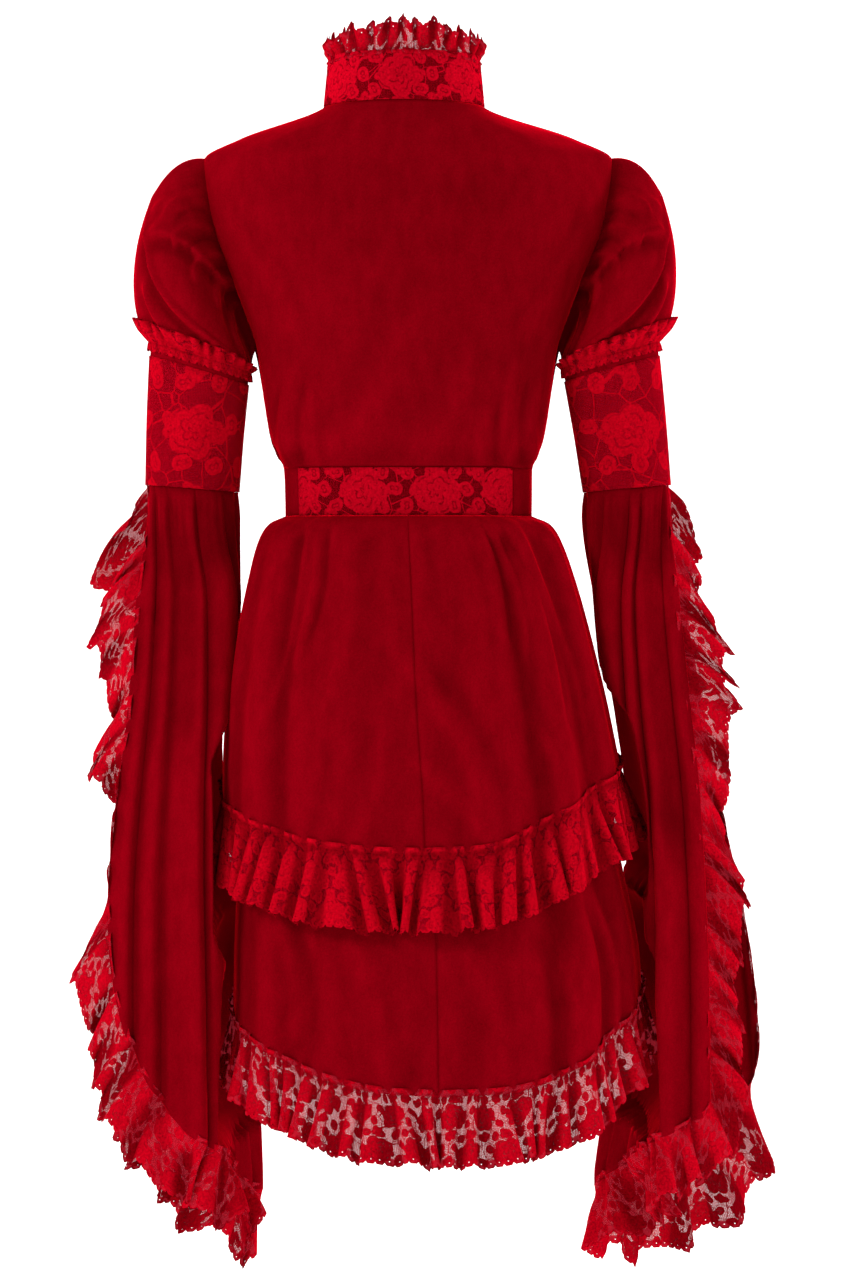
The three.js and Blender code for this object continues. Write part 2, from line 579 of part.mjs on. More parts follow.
for (const [name, sleeve] of Object.entries(sleeves)) {
  const side = sleeve.side;

  // Armhole of this side, from the shoulder down the back edge and up the front edge
  const sideColumn = side < 0 ? 0 : backGrid[0].length - 1;
  const armRows = backGrid.slice(3);
  const ring = [
    ...armRows.map((row) => row[sideColumn]).reverse(),
    ...frontGrids[name].slice(3).map((row) => row[0]).slice(1),
  ];
  const holeCurve = new THREE.CurvePath();
  ring.forEach((point, i) => holeCurve.add(new THREE.LineCurve3(point, ring[(i + 1) % ring.length])));
  const puffColumns = gathers.trim.waves * columnsPerWave;
  const puffShape = sleeve.puff;

  const puffGrid = puffRows.map((t, r) => Array.from({ length: puffColumns }, (_, k) => {
    const angle = 2 * Math.PI * k / puffColumns;
    const full = ((1 + Math.cos(angle)) / 2) ** puffForm.fullness;
    const start = holeCurve.getPointAt(k / puffColumns);
    start.x += side * (velvetWall / 2 + seamGap * 2 + velvetWall * (1 - full));
    const end = ringPoint(sleeve.bandTop, angle);
    end.z += seamGap + 0.8 * full;
    const startWay = start.clone().add(new THREE.Vector3(
      side * mix(7, puffShape.outTop, full),
      -puffShape.startDeep * Math.sin(angle) * full,
      mix(-9, puffShape.liftTop, full),
    ));
    const endWay = end.clone().add(new THREE.Vector3(
      side * Math.cos(angle) * mix(4, puffShape.footOut, full),
      -mix(4, puffShape.footDeep, full) * Math.sin(angle),
      mix(7, puffShape.footLift, full),
    ));
    const curve = new THREE.CubicBezierCurve3(start, startWay, endWay, end);
    const point = curve.getPoint(t);
    const swing = puffForm.gathers[r % 2] * full * Math.sin(Math.PI * t) * (k % 2 === 0 ? 1 : -1);
    const centre = new THREE.Vector3(side * puffForm.middle, sleeve.bandTop.y, point.z);
    return point.addScaledVector(level(point.clone().sub(centre)), swing);
  }));
  addWall(`puff_${name}`, puffGrid, velvetWall, velvetCloth, true);

  // Arm band, with lace over it
  const bandGrid = [0, 0.5, 1].map((t) => Array.from({ length: bandColumns }, (_, k) => {
    const angle = 2 * Math.PI * k / bandColumns;
    const point = ringPoint(sleeve.bandTop, angle).lerp(ringPoint(sleeve.bandFoot, angle), t);
    if (t === 0) point.z -= seamGap;
    return point;
  }));
  addWall(`arm_band_${name}`, bandGrid, velvetWall, velvetCloth, true);
  const bandWay = side < 0 ? -1 : 1;
  const laceTop = 0.1;
  const laceRows = [laceTop, 0.5, 0.99].map((t) => bandGrid[0].map((p, k) => (
    t <= 0.5 ? p.clone().lerp(bandGrid[1][k], t * 2) : bandGrid[1][k].clone().lerp(bandGrid[2][k], t * 2 - 1)
  )));
  addWall(`arm_lace_${name}`, movedOut(laceRows, overlayLift, true, bandWay), laceWall, laceCloth, true);

  // Frill over the foot of the puff, on the puff's and the band's own points moved out
  const trim = gathers.trim;
  const puffNormals = gridNormals(puffGrid, true);
  const trimGrid = ['top', 'seam', 'foot'].map((part) => Array.from({ length: puffColumns }, (_, k) => {
    const angle = 2 * Math.PI * k / puffColumns;
    const wave = Math.SQRT2 * Math.sin((k + 0.5) * 2 * Math.PI / columnsPerWave);
    const seam = ringPoint(sleeve.bandTop, angle);
    const away = new THREE.Vector3(side * Math.cos(angle), -Math.sin(angle), 0);
    if (part === 'seam') return seam.addScaledVector(away, overlayLift + trimLift.seam);
    if (part === 'foot') {
      const down = ringPoint(sleeve.bandFoot, angle).sub(seam).normalize();
      return seam.addScaledVector(down, trim.foot).addScaledVector(away, overlayLift + trimLift.foot + trimLift.footSwing * wave);
    }
    const r = puffRows.length - 2;
    const lift = overlayLift + trimLift.top + trim.swing * wave;
    return puffGrid[r][k].clone().addScaledVector(puffNormals[r][k], lift * bandWay);
  }));
  addWall(`puff_trim_${name}`, trimGrid, laceWall, laceCloth, true);

  // Bell: plan of the open sheet at each height, pleats along its length, and its rounded hem
  const bellColumns = bellPleats.count * columnsPerWave;
  const bellTop = (s) => {
    const point = ringPoint(sleeve.bandFoot, bellOpening + s * 2 * (Math.PI - bellOpening));
    point.z -= seamGap * 2;
    return point;
  };
  const planAt = (z) => new THREE.SplineCurve(['near', 'fold', 'inner', 'lap', 'far'].map((column) => {
    const [x, y] = [0, 1].map((k) => read(sleeve.bell.map((row) => ({ z: row.z, v: row[column][k] })), 'z', z, 'v'));
    return new THREE.Vector2(x, y);
  }));
  const hemAt = (s) => {
    const nearShare = Math.min(s / bellShare.near, 1);
    const farShare = Math.min((1 - s) / bellShare.far, 1);
    const round = (t, power) => (1 - (1 - t) ** power) ** (1 / power);
    const near = mix(sleeve.nearHem.free, sleeve.nearHem.foot, round(nearShare, sleeve.nearHem.power));
    const far = mix(sleeve.farHem.free, sleeve.farHem.foot, round(farShare, sleeve.farHem.power));
    return mix(near, far, ease((s - bellShare.near) / (1 - bellShare.near - bellShare.far)));
  };
  const bellBase = (s, z) => {
    const plan = planAt(z);
    const place = plan.getPointAt(s);
    const way = plan.getTangentAt(s);
    const top = bellTop(s);
    const share = ease((top.z - z) / bellTurnIn);
    const point = new THREE.Vector3(mix(top.x, place.x, share), mix(top.y, place.y, share), z);
    const normal = new THREE.Vector3(way.y, -way.x, 0).multiplyScalar(side < 0 ? 1 : -1);
    const ringWay = level(new THREE.Vector3(top.x - side * 1e-3, top.y, 0).sub(
      new THREE.Vector3((sleeve.bandFoot.outer[0] + sleeve.bandFoot.inner[0]) / 2, sleeve.bandFoot.y, 0),
    ));
    return { point, normal: ringWay.lerp(normal, share).normalize() };
  };
  const bellRows = steps(7);
  const bases = bellRows.map((v) => steps(bellColumns).map((s) => (
    bellBase(s, mix(bellTop(s).z, hemAt(s), v ** 0.9))
  )));
  const bellGrid = bases.map((row, r) => row.map(({ point, normal }, c) => {
    const atTurn = Math.abs(c / bellColumns - 0.5) < bellPleats.turnHalf ? bellPleats.turnShare : 1;
    const wave = Math.SQRT2 * Math.sin((c + 0.5) * 2 * Math.PI / columnsPerWave);
    const swing = mix(bellPleats.top, bellPleats.foot * atTurn, ease(bellRows[r] * 2)) * wave * bellPleats.share;
    const moved = point.clone().addScaledVector(normal, swing);
    moved.x = besideSkirt(moved, side);
    return moved;
  }));
  addWall(`bell_${name}`, bellGrid, velvetWall, velvetCloth);

  // Ruffle down the near free edge, along the hem and up the far free edge
  const lastColumn = bellColumns;
  const path = [
    ...bellGrid.slice(0, -1).map((row, r) => [r, 0]),
    ...bellGrid.at(-1).map((_, c) => [bellGrid.length - 1, c]),
    ...bellGrid.slice(0, -1).map((row, r) => [r, lastColumn]).reverse(),
  ];
  const bellEdge = path.map(([r, c], i) => {
    const before = path[Math.max(i - 1, 0)];
    const after = path[Math.min(i + 1, path.length - 1)];
    const along = bases[after[0]][after[1]].point.clone().sub(bases[before[0]][before[1]].point).normalize();
    const normal = bases[r][c].normal.clone();
    const out = along.clone().cross(normal).multiplyScalar(side < 0 ? 1 : -1).normalize();
    const isFar = c === lastColumn ? 1 - r / (bellGrid.length - 1) : 0;
    const turn = THREE.MathUtils.degToRad(sleeve.farTurn) * ease(isFar * 3);
    const bent = out.clone().multiplyScalar(Math.cos(turn)).addScaledVector(normal, Math.sin(turn));
    bent.z -= gathers.bell.droop;
    const corners = [bellGrid.length - 1, bellGrid.length - 1 + lastColumn];
    const atCorner = corners.some((corner) => Math.abs(corner - i) <= 1);
    const point = bellGrid[r][c].clone().addScaledVector(out, atCorner ? bellCornerGap : bellEdgeGap);
    return { point, away: out, out: bent.normalize(), normal };
  });
  const fromTop = (s) => mix(0.3, 1, ease(Math.min(s.at, s.total - s.at) / 70));
  addWall(`bell_ruffle_${name}`, strip(bellEdge, [
    { out: 0, lean: 0, swing: 0 },
    { out: gathers.bell.depth, lean: 0, swing: gathers.bell.swing, grow: fromTop },
  ], gathers.bell.waves, false), laceWall, laceCloth);
}

export default group;
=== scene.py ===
# Victorian jacket in red velvet and lace, worn form with no wearer, seen from behind.
# The back faces -Y and the wearer's right is +X. Sizes in the tables are millimetres.
import math

import bpy
import numpy as np
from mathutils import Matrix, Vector


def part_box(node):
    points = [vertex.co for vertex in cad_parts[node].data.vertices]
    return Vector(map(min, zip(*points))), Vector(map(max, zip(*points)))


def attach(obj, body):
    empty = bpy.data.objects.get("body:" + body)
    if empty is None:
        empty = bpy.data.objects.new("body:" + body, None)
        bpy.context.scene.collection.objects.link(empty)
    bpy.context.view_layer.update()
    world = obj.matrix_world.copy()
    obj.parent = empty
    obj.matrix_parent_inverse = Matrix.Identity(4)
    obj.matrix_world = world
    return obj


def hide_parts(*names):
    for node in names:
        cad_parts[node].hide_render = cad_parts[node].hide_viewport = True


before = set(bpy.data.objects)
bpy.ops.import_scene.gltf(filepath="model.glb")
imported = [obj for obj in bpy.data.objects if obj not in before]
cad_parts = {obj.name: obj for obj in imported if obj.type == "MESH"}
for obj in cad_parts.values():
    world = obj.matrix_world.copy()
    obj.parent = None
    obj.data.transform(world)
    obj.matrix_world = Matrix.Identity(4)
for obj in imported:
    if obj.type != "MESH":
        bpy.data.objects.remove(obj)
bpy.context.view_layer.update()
bpy.ops.object.select_all(action="DESELECT")

# Studio: a pale sweep of paper behind and below the hanging jacket, one camera straight at the
# back, big soft lights, and a pale room all round that fills the shadows.
floor_side = 14
floor_height = -1.42
wall_height = 9
sweep_radius = 3
bpy.ops.mesh.primitive_plane_add(size=floor_side, location=(0, 0, floor_height))
floor = bpy.context.object
floor.name = "studio_floor"
bpy.ops.object.mode_set(mode="EDIT")
bpy.ops.mesh.select_mode(type="EDGE")
bpy.ops.mesh.select_all(action="DESELECT")
bpy.ops.object.mode_set(mode="OBJECT")
for edge in floor.data.edges:
    ends = [floor.data.vertices[k].co.y for k in edge.vertices]
    edge.select = min(ends) > floor_side / 2 - 1
bpy.ops.object.mode_set(mode="EDIT")
bpy.ops.mesh.extrude_region_move(TRANSFORM_OT_translate={"value": (0, 0, wall_height)})
bpy.ops.mesh.select_all(action="SELECT")
bpy.ops.object.mode_set(mode="OBJECT")
bevel = floor.modifiers.new("sweep", "BEVEL")
bevel.width = sweep_radius
bevel.segments = 12
bpy.ops.object.modifier_apply(modifier="sweep")
bpy.ops.object.shade_smooth()
paper = bpy.data.materials.new("studio_paper")
paper.use_nodes = True
paper_shader = paper.node_tree.nodes["Principled BSDF"]
paper_shader.inputs["Base Color"].default_value = (0.93, 0.93, 0.93, 1)
paper_shader.inputs["Roughness"].default_value = 0.9
paper_shader.inputs["Emission Color"].default_value = (1, 1, 1, 1)
paper_shader.inputs["Emission Strength"].default_value = 0.55
floor.data.materials.append(paper)

camera_data = bpy.data.cameras.new("studio_camera")
camera_data.lens = 225
jacket_middle_x = 0.0225
jacket_middle_z = -0.54
camera_distance = 8.05
camera = bpy.data.objects.new("studio_camera", camera_data)
camera.location = (jacket_middle_x, -camera_distance, jacket_middle_z)
camera.rotation_euler = (math.pi / 2, 0, 0)
bpy.context.scene.collection.objects.link(camera)
bpy.context.scene.camera = camera

soft_lights = [
    # name, place, target, size, power
    ("key", (-2.3, -1.9, 0.9), (0, 0, -0.5), 0.9, 62),
    ("fill", (2.6, -2.4, 0.1), (0, 0, -0.6), 1.6, 22),
    ("rim_left", (-2.4, 1.0, 0.5), (0, 0, -0.5), 0.9, 30),
    ("rim_right", (2.4, 0.6, 0.5), (0, 0, -0.5), 0.8, 45),
    ("front_key", (1.4, 3.2, 0.9), (0, 0, -0.5), 1.6, 50),
    ("paper_light", (0, 1.5, 2.6), (0, 5, -0.6), 3.0, 160),
]
for name, place, target, size, power in soft_lights:
    lamp = bpy.data.lights.new(name, "AREA")
    lamp.size = size
    lamp.energy = power
    holder = bpy.data.objects.new(name, lamp)
    holder.location = place
    holder.rotation_euler = (Vector(target) - Vector(place)).to_track_quat("-Z", "Y").to_euler()
    bpy.context.scene.collection.objects.link(holder)

room = bpy.data.worlds.new("pale_room")
bpy.context.scene.world = room
room.use_nodes = True
room.node_tree.nodes["Background"].inputs["Color"].default_value = (1, 1, 1, 1)
room.node_tree.nodes["Background"].inputs["Strength"].default_value = 0.42
bpy.context.scene.view_settings.view_transform = "Standard"

# Back of the bodice: one piece of pile velvet from side seam to side seam and up to the neck,
# sewn to the fronts at the sides and shoulders. Its soft folds gather at the waist. The velvet is
# a deep red, mottled where the nap lies two ways, and bright where it is seen edge on.
mm = 0.001
seam_gap = 0.3
velvet_wall = 2.0
lace_wall = 1.2
waistband_top = -368
waistband_foot = -416
armpit = -247
shoulder = -57
neck_half = 79
neck_side = -4
neck_front_dip = 34
form_power = 2.4
bodice = {
    "z": [0, -4, -37, -57, -90, -130, -180, -230, -247, -300, -340, -368, -416],
    "half": [76, 79, 168, 204, 203, 195, 174, 155.5, 150.5, 143, 136, 124, 123],
    "back": [60, 62, 76, 82, 88, 93, 96, 95, 94, 91, 88, 84, 84],
    "front": [34, 40, 62, 76, 92, 107, 117, 117, 114, 105, 97, 91, 91],
    "middle": [0, 0, 3, 4, 4, 4, 3, 3, 3, 3, 3, 4, 4.5],
}
armhole = {
    "z": [-57, -90, -130, -180, -230, -247],
    "half": [203.5, 195, 184.5, 165, 153.5, 150.5],
}


def read(table, key, at, column):
    """One column of a table of sizes, at any place of its key, along a smooth curve."""
    x = np.array(table[key], float)
    y = np.array(table[column], float)
    if x[0] > x[-1]:
        x, y = x[::-1], y[::-1]
    at = np.clip(at, x[0], x[-1])
    i = np.clip(np.searchsorted(x, at, side="right") - 1, 0, len(x) - 2)
    secant = np.diff(y) / np.diff(x)
    slope = np.concatenate([secant[:1], np.zeros(len(x) - 2), secant[-1:]])
    product = secant[:-1] * secant[1:]
    total = secant[:-1] + secant[1:]
    slope[1:-1] = np.where(product > 0, 2 * product / np.where(product > 0, total, 1), 0)
    span = x[i + 1] - x[i]
    t = (at - x[i]) / span
    a = 2 * t**3 - 3 * t**2 + 1
    rise = (t**3 - 2 * t**2 + t) * span * slope[i] + (t**3 - t**2) * span * slope[i + 1]
    return a * y[i] + (1 - a) * y[i + 1] + rise


def mix(a, b, t):
    """From a to b by a share."""
    return a + (b - a) * t


def ease(t):
    """A share from 0 to 1 that starts and ends softly."""
    t = np.clip(t, 0, 1)
    return t * t * (3 - 2 * t)


def roundness(share):
    """How deep the body's plan is at a sideways place, from 1 in the middle to 0 at the side."""
    return (1 - np.minimum(np.abs(share), 1) ** form_power) ** (1 / form_power)


def creases(a, b, rows):
    """Soft ridges and troughs laid one by one: each runs from one place to another and fades out."""
    total = np.zeros(np.broadcast(a, b).shape)
    for a0, b0, a1, b1, width, out in rows:
        length = math.hypot(a1 - a0, b1 - b0)
        way = ((a1 - a0) / length, (b1 - b0) / length)
        along = ((a - a0) * way[0] + (b - b0) * way[1]) / length
        bow = 0.06 * length * np.sin(np.pi * np.clip(along, 0, 1))
        across = (a - a0) * way[1] - (b - b0) * way[0] + bow
        fade = ease(along * 3 + 0.5) * ease((1 - along) * 3 + 0.5)
        total += out * fade * np.exp(-((across / width) ** 2))
    return total


def unit(ways):
    """The same directions at length 1."""
    return ways / np.maximum(np.linalg.norm(ways, axis=-1, keepdims=True), 1e-9)


def grid_normals(points):
    """Unit normals of a grid of points, rows by columns."""
    along = np.gradient(points, axis=1)
    up = np.gradient(points, axis=0)
    return unit(np.cross(along, up))


def fold_relief(points, tube):
    """How far each place stands out of the cloth round it, from -1 in a trough to 1 on a ridge."""
    reach = 7
    full_relief = 1.7
    smooth = points
    for axis in (1, 0):
        span = min(reach, (points.shape[axis] - 1) // 3)
        pad = [(0, 0)] * 3
        pad[axis] = (span, span)
        if axis == 1 and tube:
            wide = np.concatenate([smooth[:, -span - 1:-1], smooth, smooth[:, 1:span + 1]], axis=1)
        else:
            wide = np.pad(smooth, pad, mode="reflect", reflect_type="odd")
        total = np.cumsum(np.concatenate([np.zeros_like(np.take(wide, [0], axis)), wide], axis), axis)
        count = 2 * span + 1
        size = points.shape[axis]
        high = np.take(total, range(count, count + size), axis)
        low = np.take(total, range(0, size), axis)
        smooth = (high - low) / count
    stands = ((points - smooth) * grid_normals(points)).sum(axis=-1)
    return np.clip(stands / full_relief, -1, 1)


def lay_cloth(name, points, wall, cloth, node, tube=False):
    """Cuts a flat grid of cloth with its UV map in metres, lays it on its form, gives it its
    thickness, and says what it is. The points go row by row from the foot, anticlockwise."""
    rows, columns = points.shape[0] - 1, points.shape[1] - 1
    bpy.ops.object.select_all(action="DESELECT")
    bpy.ops.mesh.primitive_grid_add(x_subdivisions=columns, y_subdivisions=rows, size=1)
    piece = bpy.context.object
    piece.name = name
    piece.data.name = name
    flat = np.empty(len(piece.data.vertices) * 3)
    piece.data.vertices.foreach_get("co", flat)
    flat = flat.reshape(-1, 3)
    c = np.rint((flat[:, 0] + 0.5) * columns).astype(int)
    r = np.rint((flat[:, 1] + 0.5) * rows).astype(int)
    relief_values = fold_relief(points, tube)
    points = points * mm
    piece.data.vertices.foreach_set("co", points[r, c].ravel())
    across = np.linalg.norm(np.diff(points, axis=1), axis=-1)
    up = np.linalg.norm(np.diff(points, axis=0), axis=-1)
    measured_row = rows // 3
    middle = np.concatenate([[0], np.cumsum(across[measured_row])])
    height = np.concatenate([np.zeros((1, columns + 1)), np.cumsum(up, axis=0)])
    corner = np.empty(len(piece.data.loops), int)
    piece.data.loops.foreach_get("vertex_index", corner)
    cut = np.stack([middle[c[corner]], height[r[corner], c[corner]]], axis=-1)
    piece.data.uv_layers[0].data.foreach_set("uv", cut.ravel())
    # the fold relief; the materials paint shade into the troughs and highlight onto the ridges from it
    relief = piece.data.attributes.new("fold", "FLOAT", "POINT")
    relief.data.foreach_set("value", relief_values[r, c].astype(np.float32))
    piece.data.update()
    if tube:
        bpy.ops.object.mode_set(mode="EDIT")
        bpy.ops.mesh.select_all(action="SELECT")
        bpy.ops.mesh.remove_doubles(threshold=0.00001)
        bpy.ops.object.mode_set(mode="OBJECT")
    bpy.ops.object.shade_smooth()
    solidify = piece.modifiers.new("wall", "SOLIDIFY")
    solidify.thickness = wall * mm
    solidify.offset = 0
    bpy.ops.object.modifier_apply(modifier="wall")
    piece.data.materials.append(cloth)
    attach(piece, "root")
    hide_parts(node)
    return piece


def bodice_point(x, z, facing):
    """A point of the bodice's form behind (-1) or in front (1), soft at the shoulder."""
    soft_run = 60
    ridge_thinning = 0.35
    half = read(bodice, "z", z, "half")
    share = (x - read(bodice, "z", z, "middle")) / half
    depth = read(bodice, "z", z, "back" if facing < 0 else "front")
    beyond_neck = ease((np.abs(x) - soft_run) / soft_run)
    below_ridge = ease((half - np.abs(x)) / soft_run + np.maximum(shoulder - z, 0) / soft_run)
    slope = 1 - ridge_thinning * beyond_neck * (1 - below_ridge)
    return np.stack([x, facing * depth * roundness(share) * slope, z], axis=-1)


def edge_half(z):
    """Half the width at the side edge, which is the armhole above the armpit."""
    upper = read(armhole, "z", z, "half")
    return np.where(z > armpit, upper, read(bodice, "z", z, "half"))


def edge_height(v):
    """Height at the side edge: side seam below the armpit, armhole above it."""
    low = mix(waistband_top + seam_gap, armpit, v * 3)
    return np.where(v < 1 / 3, low, mix(armpit, shoulder, (v - 1 / 3) * 1.5))


def panel_across(t, edge_z, facing):
    """How far out and how high a bodice panel runs, t from its side edge to the centre."""
    ridge = mix(shoulder, neck_side, t * 2)
    angle = np.maximum(t - 0.5, 0) * math.pi
    if facing < 0:
        dip = neck_side * np.cos(angle) ** 2
    else:
        dip = neck_side - neck_front_dip * np.sin(angle) ** 1.5
    top_z = np.where(t < 0.5, ridge, dip)
    top_half = np.where(t < 0.5, read(bodice, "z", ridge, "half"), neck_half * np.cos(angle))
    foot = waistband_top + seam_gap
    share = ((edge_z - foot) / (shoulder - foot)) ** 1.5
    z = edge_z + (top_z - shoulder) * share
    edge = edge_half(edge_z)
    low = edge * np.cos(t * math.pi / 2)
    high = top_half * edge / edge_half(np.array(float(shoulder)))
    return mix(low, mix(high, top_half, share), share), z


back_folds = [
    # across, height, to across, to height, width, out
    (-118, -360, -112, -268, 5.0, 2.6),
    (-103, -364, -100, -285, 4.0, -2.2),
    (-128, -362, -124, -290, 4.5, -2.0),
    (-88, -366, -92, -300, 5.5, 1.6),
    (104, -364, 112, -262, 5.0, 2.8),
    (120, -366, 124, -280, 4.2, -2.4),
    (132, -362, 134, -285, 4.0, 2.4),
    (92, -366, 98, -300, 5.0, -1.6),
    (76, -366, 84, -310, 6.0, 1.3),
    (-20, -190, -104, -352, 13, -1.6),
    (14, -200, -66, -356, 14, 1.9),
    (52, -230, -22, -360, 13, -1.5),
    (66, -262, 22, -362, 11, 1.3),
    (-150, -150, -112, -240, 9, 1.8),
    (162, -140, 120, -236, 9, 2.0),
    (-168, -110, -140, -168, 6, -1.6),
    (176, -105, 150, -165, 6, -1.7),
]
u, v = np.meshgrid(np.linspace(-1, 1, 161), np.linspace(0, 1, 97))
across, z = panel_across(1 - np.abs(u), edge_height(v), -1)
x = read(bodice, "z", z, "middle") + np.sign(u) * across
back = bodice_point(x, z, -1)


def node_maths(nodes, links, operation, a, b=None):
    """A Math node on two values or sockets."""
    maths = nodes.new("ShaderNodeMath")
    maths.operation = operation
    for socket, value in zip(maths.inputs, (a, b)):
        if isinstance(value, (int, float)):
            socket.default_value = value
        elif value is not None:
            links.new(value, socket)
    return maths.outputs[0]


def noise(nodes, links, place, scale, detail, stretch=(1, 1, 1), roughness=0.55):
    """A noise pattern on the object's own place, stretched along an axis."""
    mapping = nodes.new("ShaderNodeMapping")
    mapping.inputs["Scale"].default_value = stretch
    links.new(place, mapping.inputs["Vector"])
    texture = nodes.new("ShaderNodeTexNoise")
    texture.inputs["Scale"].default_value = scale
    texture.inputs["Detail"].default_value = detail
    texture.inputs["Roughness"].default_value = roughness
    links.new(mapping.outputs[0], texture.inputs["Vector"])
    return texture.outputs["Fac"]


def painted_fold_shade(nodes, links, colour, trough, ridge):
    """Painted shade in the troughs of the folds and painted highlight on their ridges."""
    fold = nodes.new("ShaderNodeAttribute")
    fold.attribute_name = "fold"
    span = nodes.new("ShaderNodeMapRange")
    span.inputs["From Min"].default_value = -1
    span.inputs["To Min"].default_value = trough
    span.inputs["To Max"].default_value = ridge
    links.new(fold.outputs["Fac"], span.inputs["Value"])
    shaded = nodes.new("ShaderNodeVectorMath")
    shaded.operation = "MULTIPLY"
    links.new(colour, shaded.inputs[0])
    links.new(span.outputs["Result"], shaded.inputs[1])
    return shaded.outputs[0]


def pile_velvet(name, nap_size=1.0):
    """Red pile velvet on the object's own place, finer where the nap size is larger."""
    cloth = bpy.data.materials.new(name)
    cloth.use_nodes = True
    nodes, links = cloth.node_tree.nodes, cloth.node_tree.links
    shader = nodes["Principled BSDF"]
    place = nodes.new("ShaderNodeTexCoord").outputs["Object"]
    patches = noise(nodes, links, place, 9 * nap_size, 4, (1, 1, 0.55))
    mottle = noise(nodes, links, place, 75 * nap_size, 3, (1, 1, 0.5))
    pile = noise(nodes, links, place, 620, 2)
    shade = node_maths(nodes, links, "MULTIPLY_ADD", patches, 0.20)
    shade.node.inputs[2].default_value = 0.11
    shade = node_maths(nodes, links, "ADD", shade, node_maths(nodes, links, "MULTIPLY", mottle, 0.30))
    shade = node_maths(nodes, links, "ADD", shade, node_maths(nodes, links, "MULTIPLY", pile, 0.34))
    ramp = nodes.new("ShaderNodeValToRGB")
    ramp.color_ramp.elements[0].position = 0.36
    ramp.color_ramp.elements[0].color = (0.118, 0.0, 0.0020, 1)
    ramp.color_ramp.elements[1].position = 0.70
    ramp.color_ramp.elements[1].color = (0.215, 0.0002, 0.0044, 1)
    links.new(shade, ramp.inputs["Fac"])
    # painted shade and highlight: the velvet is darker in the fold troughs and brighter on the ridges
    links.new(painted_fold_shade(nodes, links, ramp.outputs["Color"], 0.76, 1.2), shader.inputs["Base Color"])
    shader.inputs["Roughness"].default_value = 0.82
    shader.inputs["Specular IOR Level"].default_value = 0.0
    shader.inputs["Sheen Weight"].default_value = 1.0
    shader.inputs["Sheen Roughness"].default_value = 0.26
    shader.inputs["Sheen Tint"].default_value = (1.0, 0.0, 0.012, 1)
    crumple = noise(nodes, links, place, 34, 3, (1, 1, 0.4))
    low = nodes.new("ShaderNodeBump")
    low.inputs["Strength"].default_value = 0.22
    low.inputs["Distance"].default_value = 0.004
    links.new(crumple, low.inputs["Height"])
    fine = nodes.new("ShaderNodeBump")
    fine.inputs["Strength"].default_value = 0.25
    fine.inputs["Distance"].default_value = 0.0006
    links.new(pile, fine.inputs["Height"])
    links.new(low.outputs["Normal"], fine.inputs["Normal"])
    links.new(fine.outputs["Normal"], shader.inputs["Normal"])
    return cloth


velvet = pile_velvet("pile_velvet")


def folded(points, rise):
    """The cloth moved out along its own normals by its creases."""
    return points + grid_normals(points) * rise[..., None]


fold_run_in = 10
back_fold_depth = 0.85
side_clear = 0.05
above_band = ease((z - waistband_top) / fold_run_in + 0.3)
back_laid = folded(back, back_fold_depth * creases(x, z, back_folds) * above_band)
back_laid[..., 1] = np.minimum(back_laid[..., 1], -side_clear)
lay_cloth("velvet_back", back_laid, velvet_wall, velvet, "bodice_back")

# Fronts of the bodice: two velvet pieces that meet down the centre, the right one over the left,
# with darts shaped into them and the same soft gathers into the waistband.
overlap_under = 12
overlap_over = 9
overlap_step = 2.7
front_folds = [
    (96, -366, 88, -288, 5.0, 2.4),
    (80, -366, 76, -300, 4.5, -2.0),
    (112, -364, 112, -282, 4.5, -2.2),
    (60, -366, 62, -310, 5.0, 1.6),
    (126, -362, 124, -292, 4.2, 2.2),
    (168, -120, 96, -170, 11, 1.7),
    (152, -205, 70, -186, 10, -1.3),
    (42, -150, 74, -330, 12, 1.4),
]
lap_start = 0.86
for name, side in (("left", -1), ("right", 1)):
    u, v = np.meshgrid(np.linspace(0, 1, 89), np.linspace(0, 1, 97))
    t = np.minimum(u / lap_start, 1) * 7 / 8
    edge_z = edge_height(v)
    across, z = panel_across(t, edge_z, 1)
    _, centre_z = panel_across(np.ones_like(t), edge_z, 1)
    past = np.clip((u - lap_start) / (1 - lap_start), 0, 1)
    across = mix(across, -overlap_over, past)
    z = mix(z, centre_z, ease(past * 1.5))
    x = read(bodice, "z", z, "middle") + side * across
    front = bodice_point(x, z, 1)
    above_band = ease((z - waistband_top) / fold_run_in + 0.3)
    rise = creases(np.abs(x), z, front_folds) * above_band * (1 - ease(past * 2))
    rise *= 0.9 + 0.2 * (side > 0)
    if side < 0:
        front[..., 1] -= overlap_step * ease((overlap_under + 6 - across) / 6)
    # the columns run anticlockwise, so that the cloth's outer face is out
    if grid_normals(front)[48, 44, 1] < 0:
        front, rise = front[:, ::-1], rise[:, ::-1]
    front = folded(front, rise)
    front[..., 1] = np.maximum(front[..., 1], side_clear)
    node = f"bodice_front_{name}"
    lay_cloth(f"velvet_front_{name}", front, velvet_wall, velvet, node)

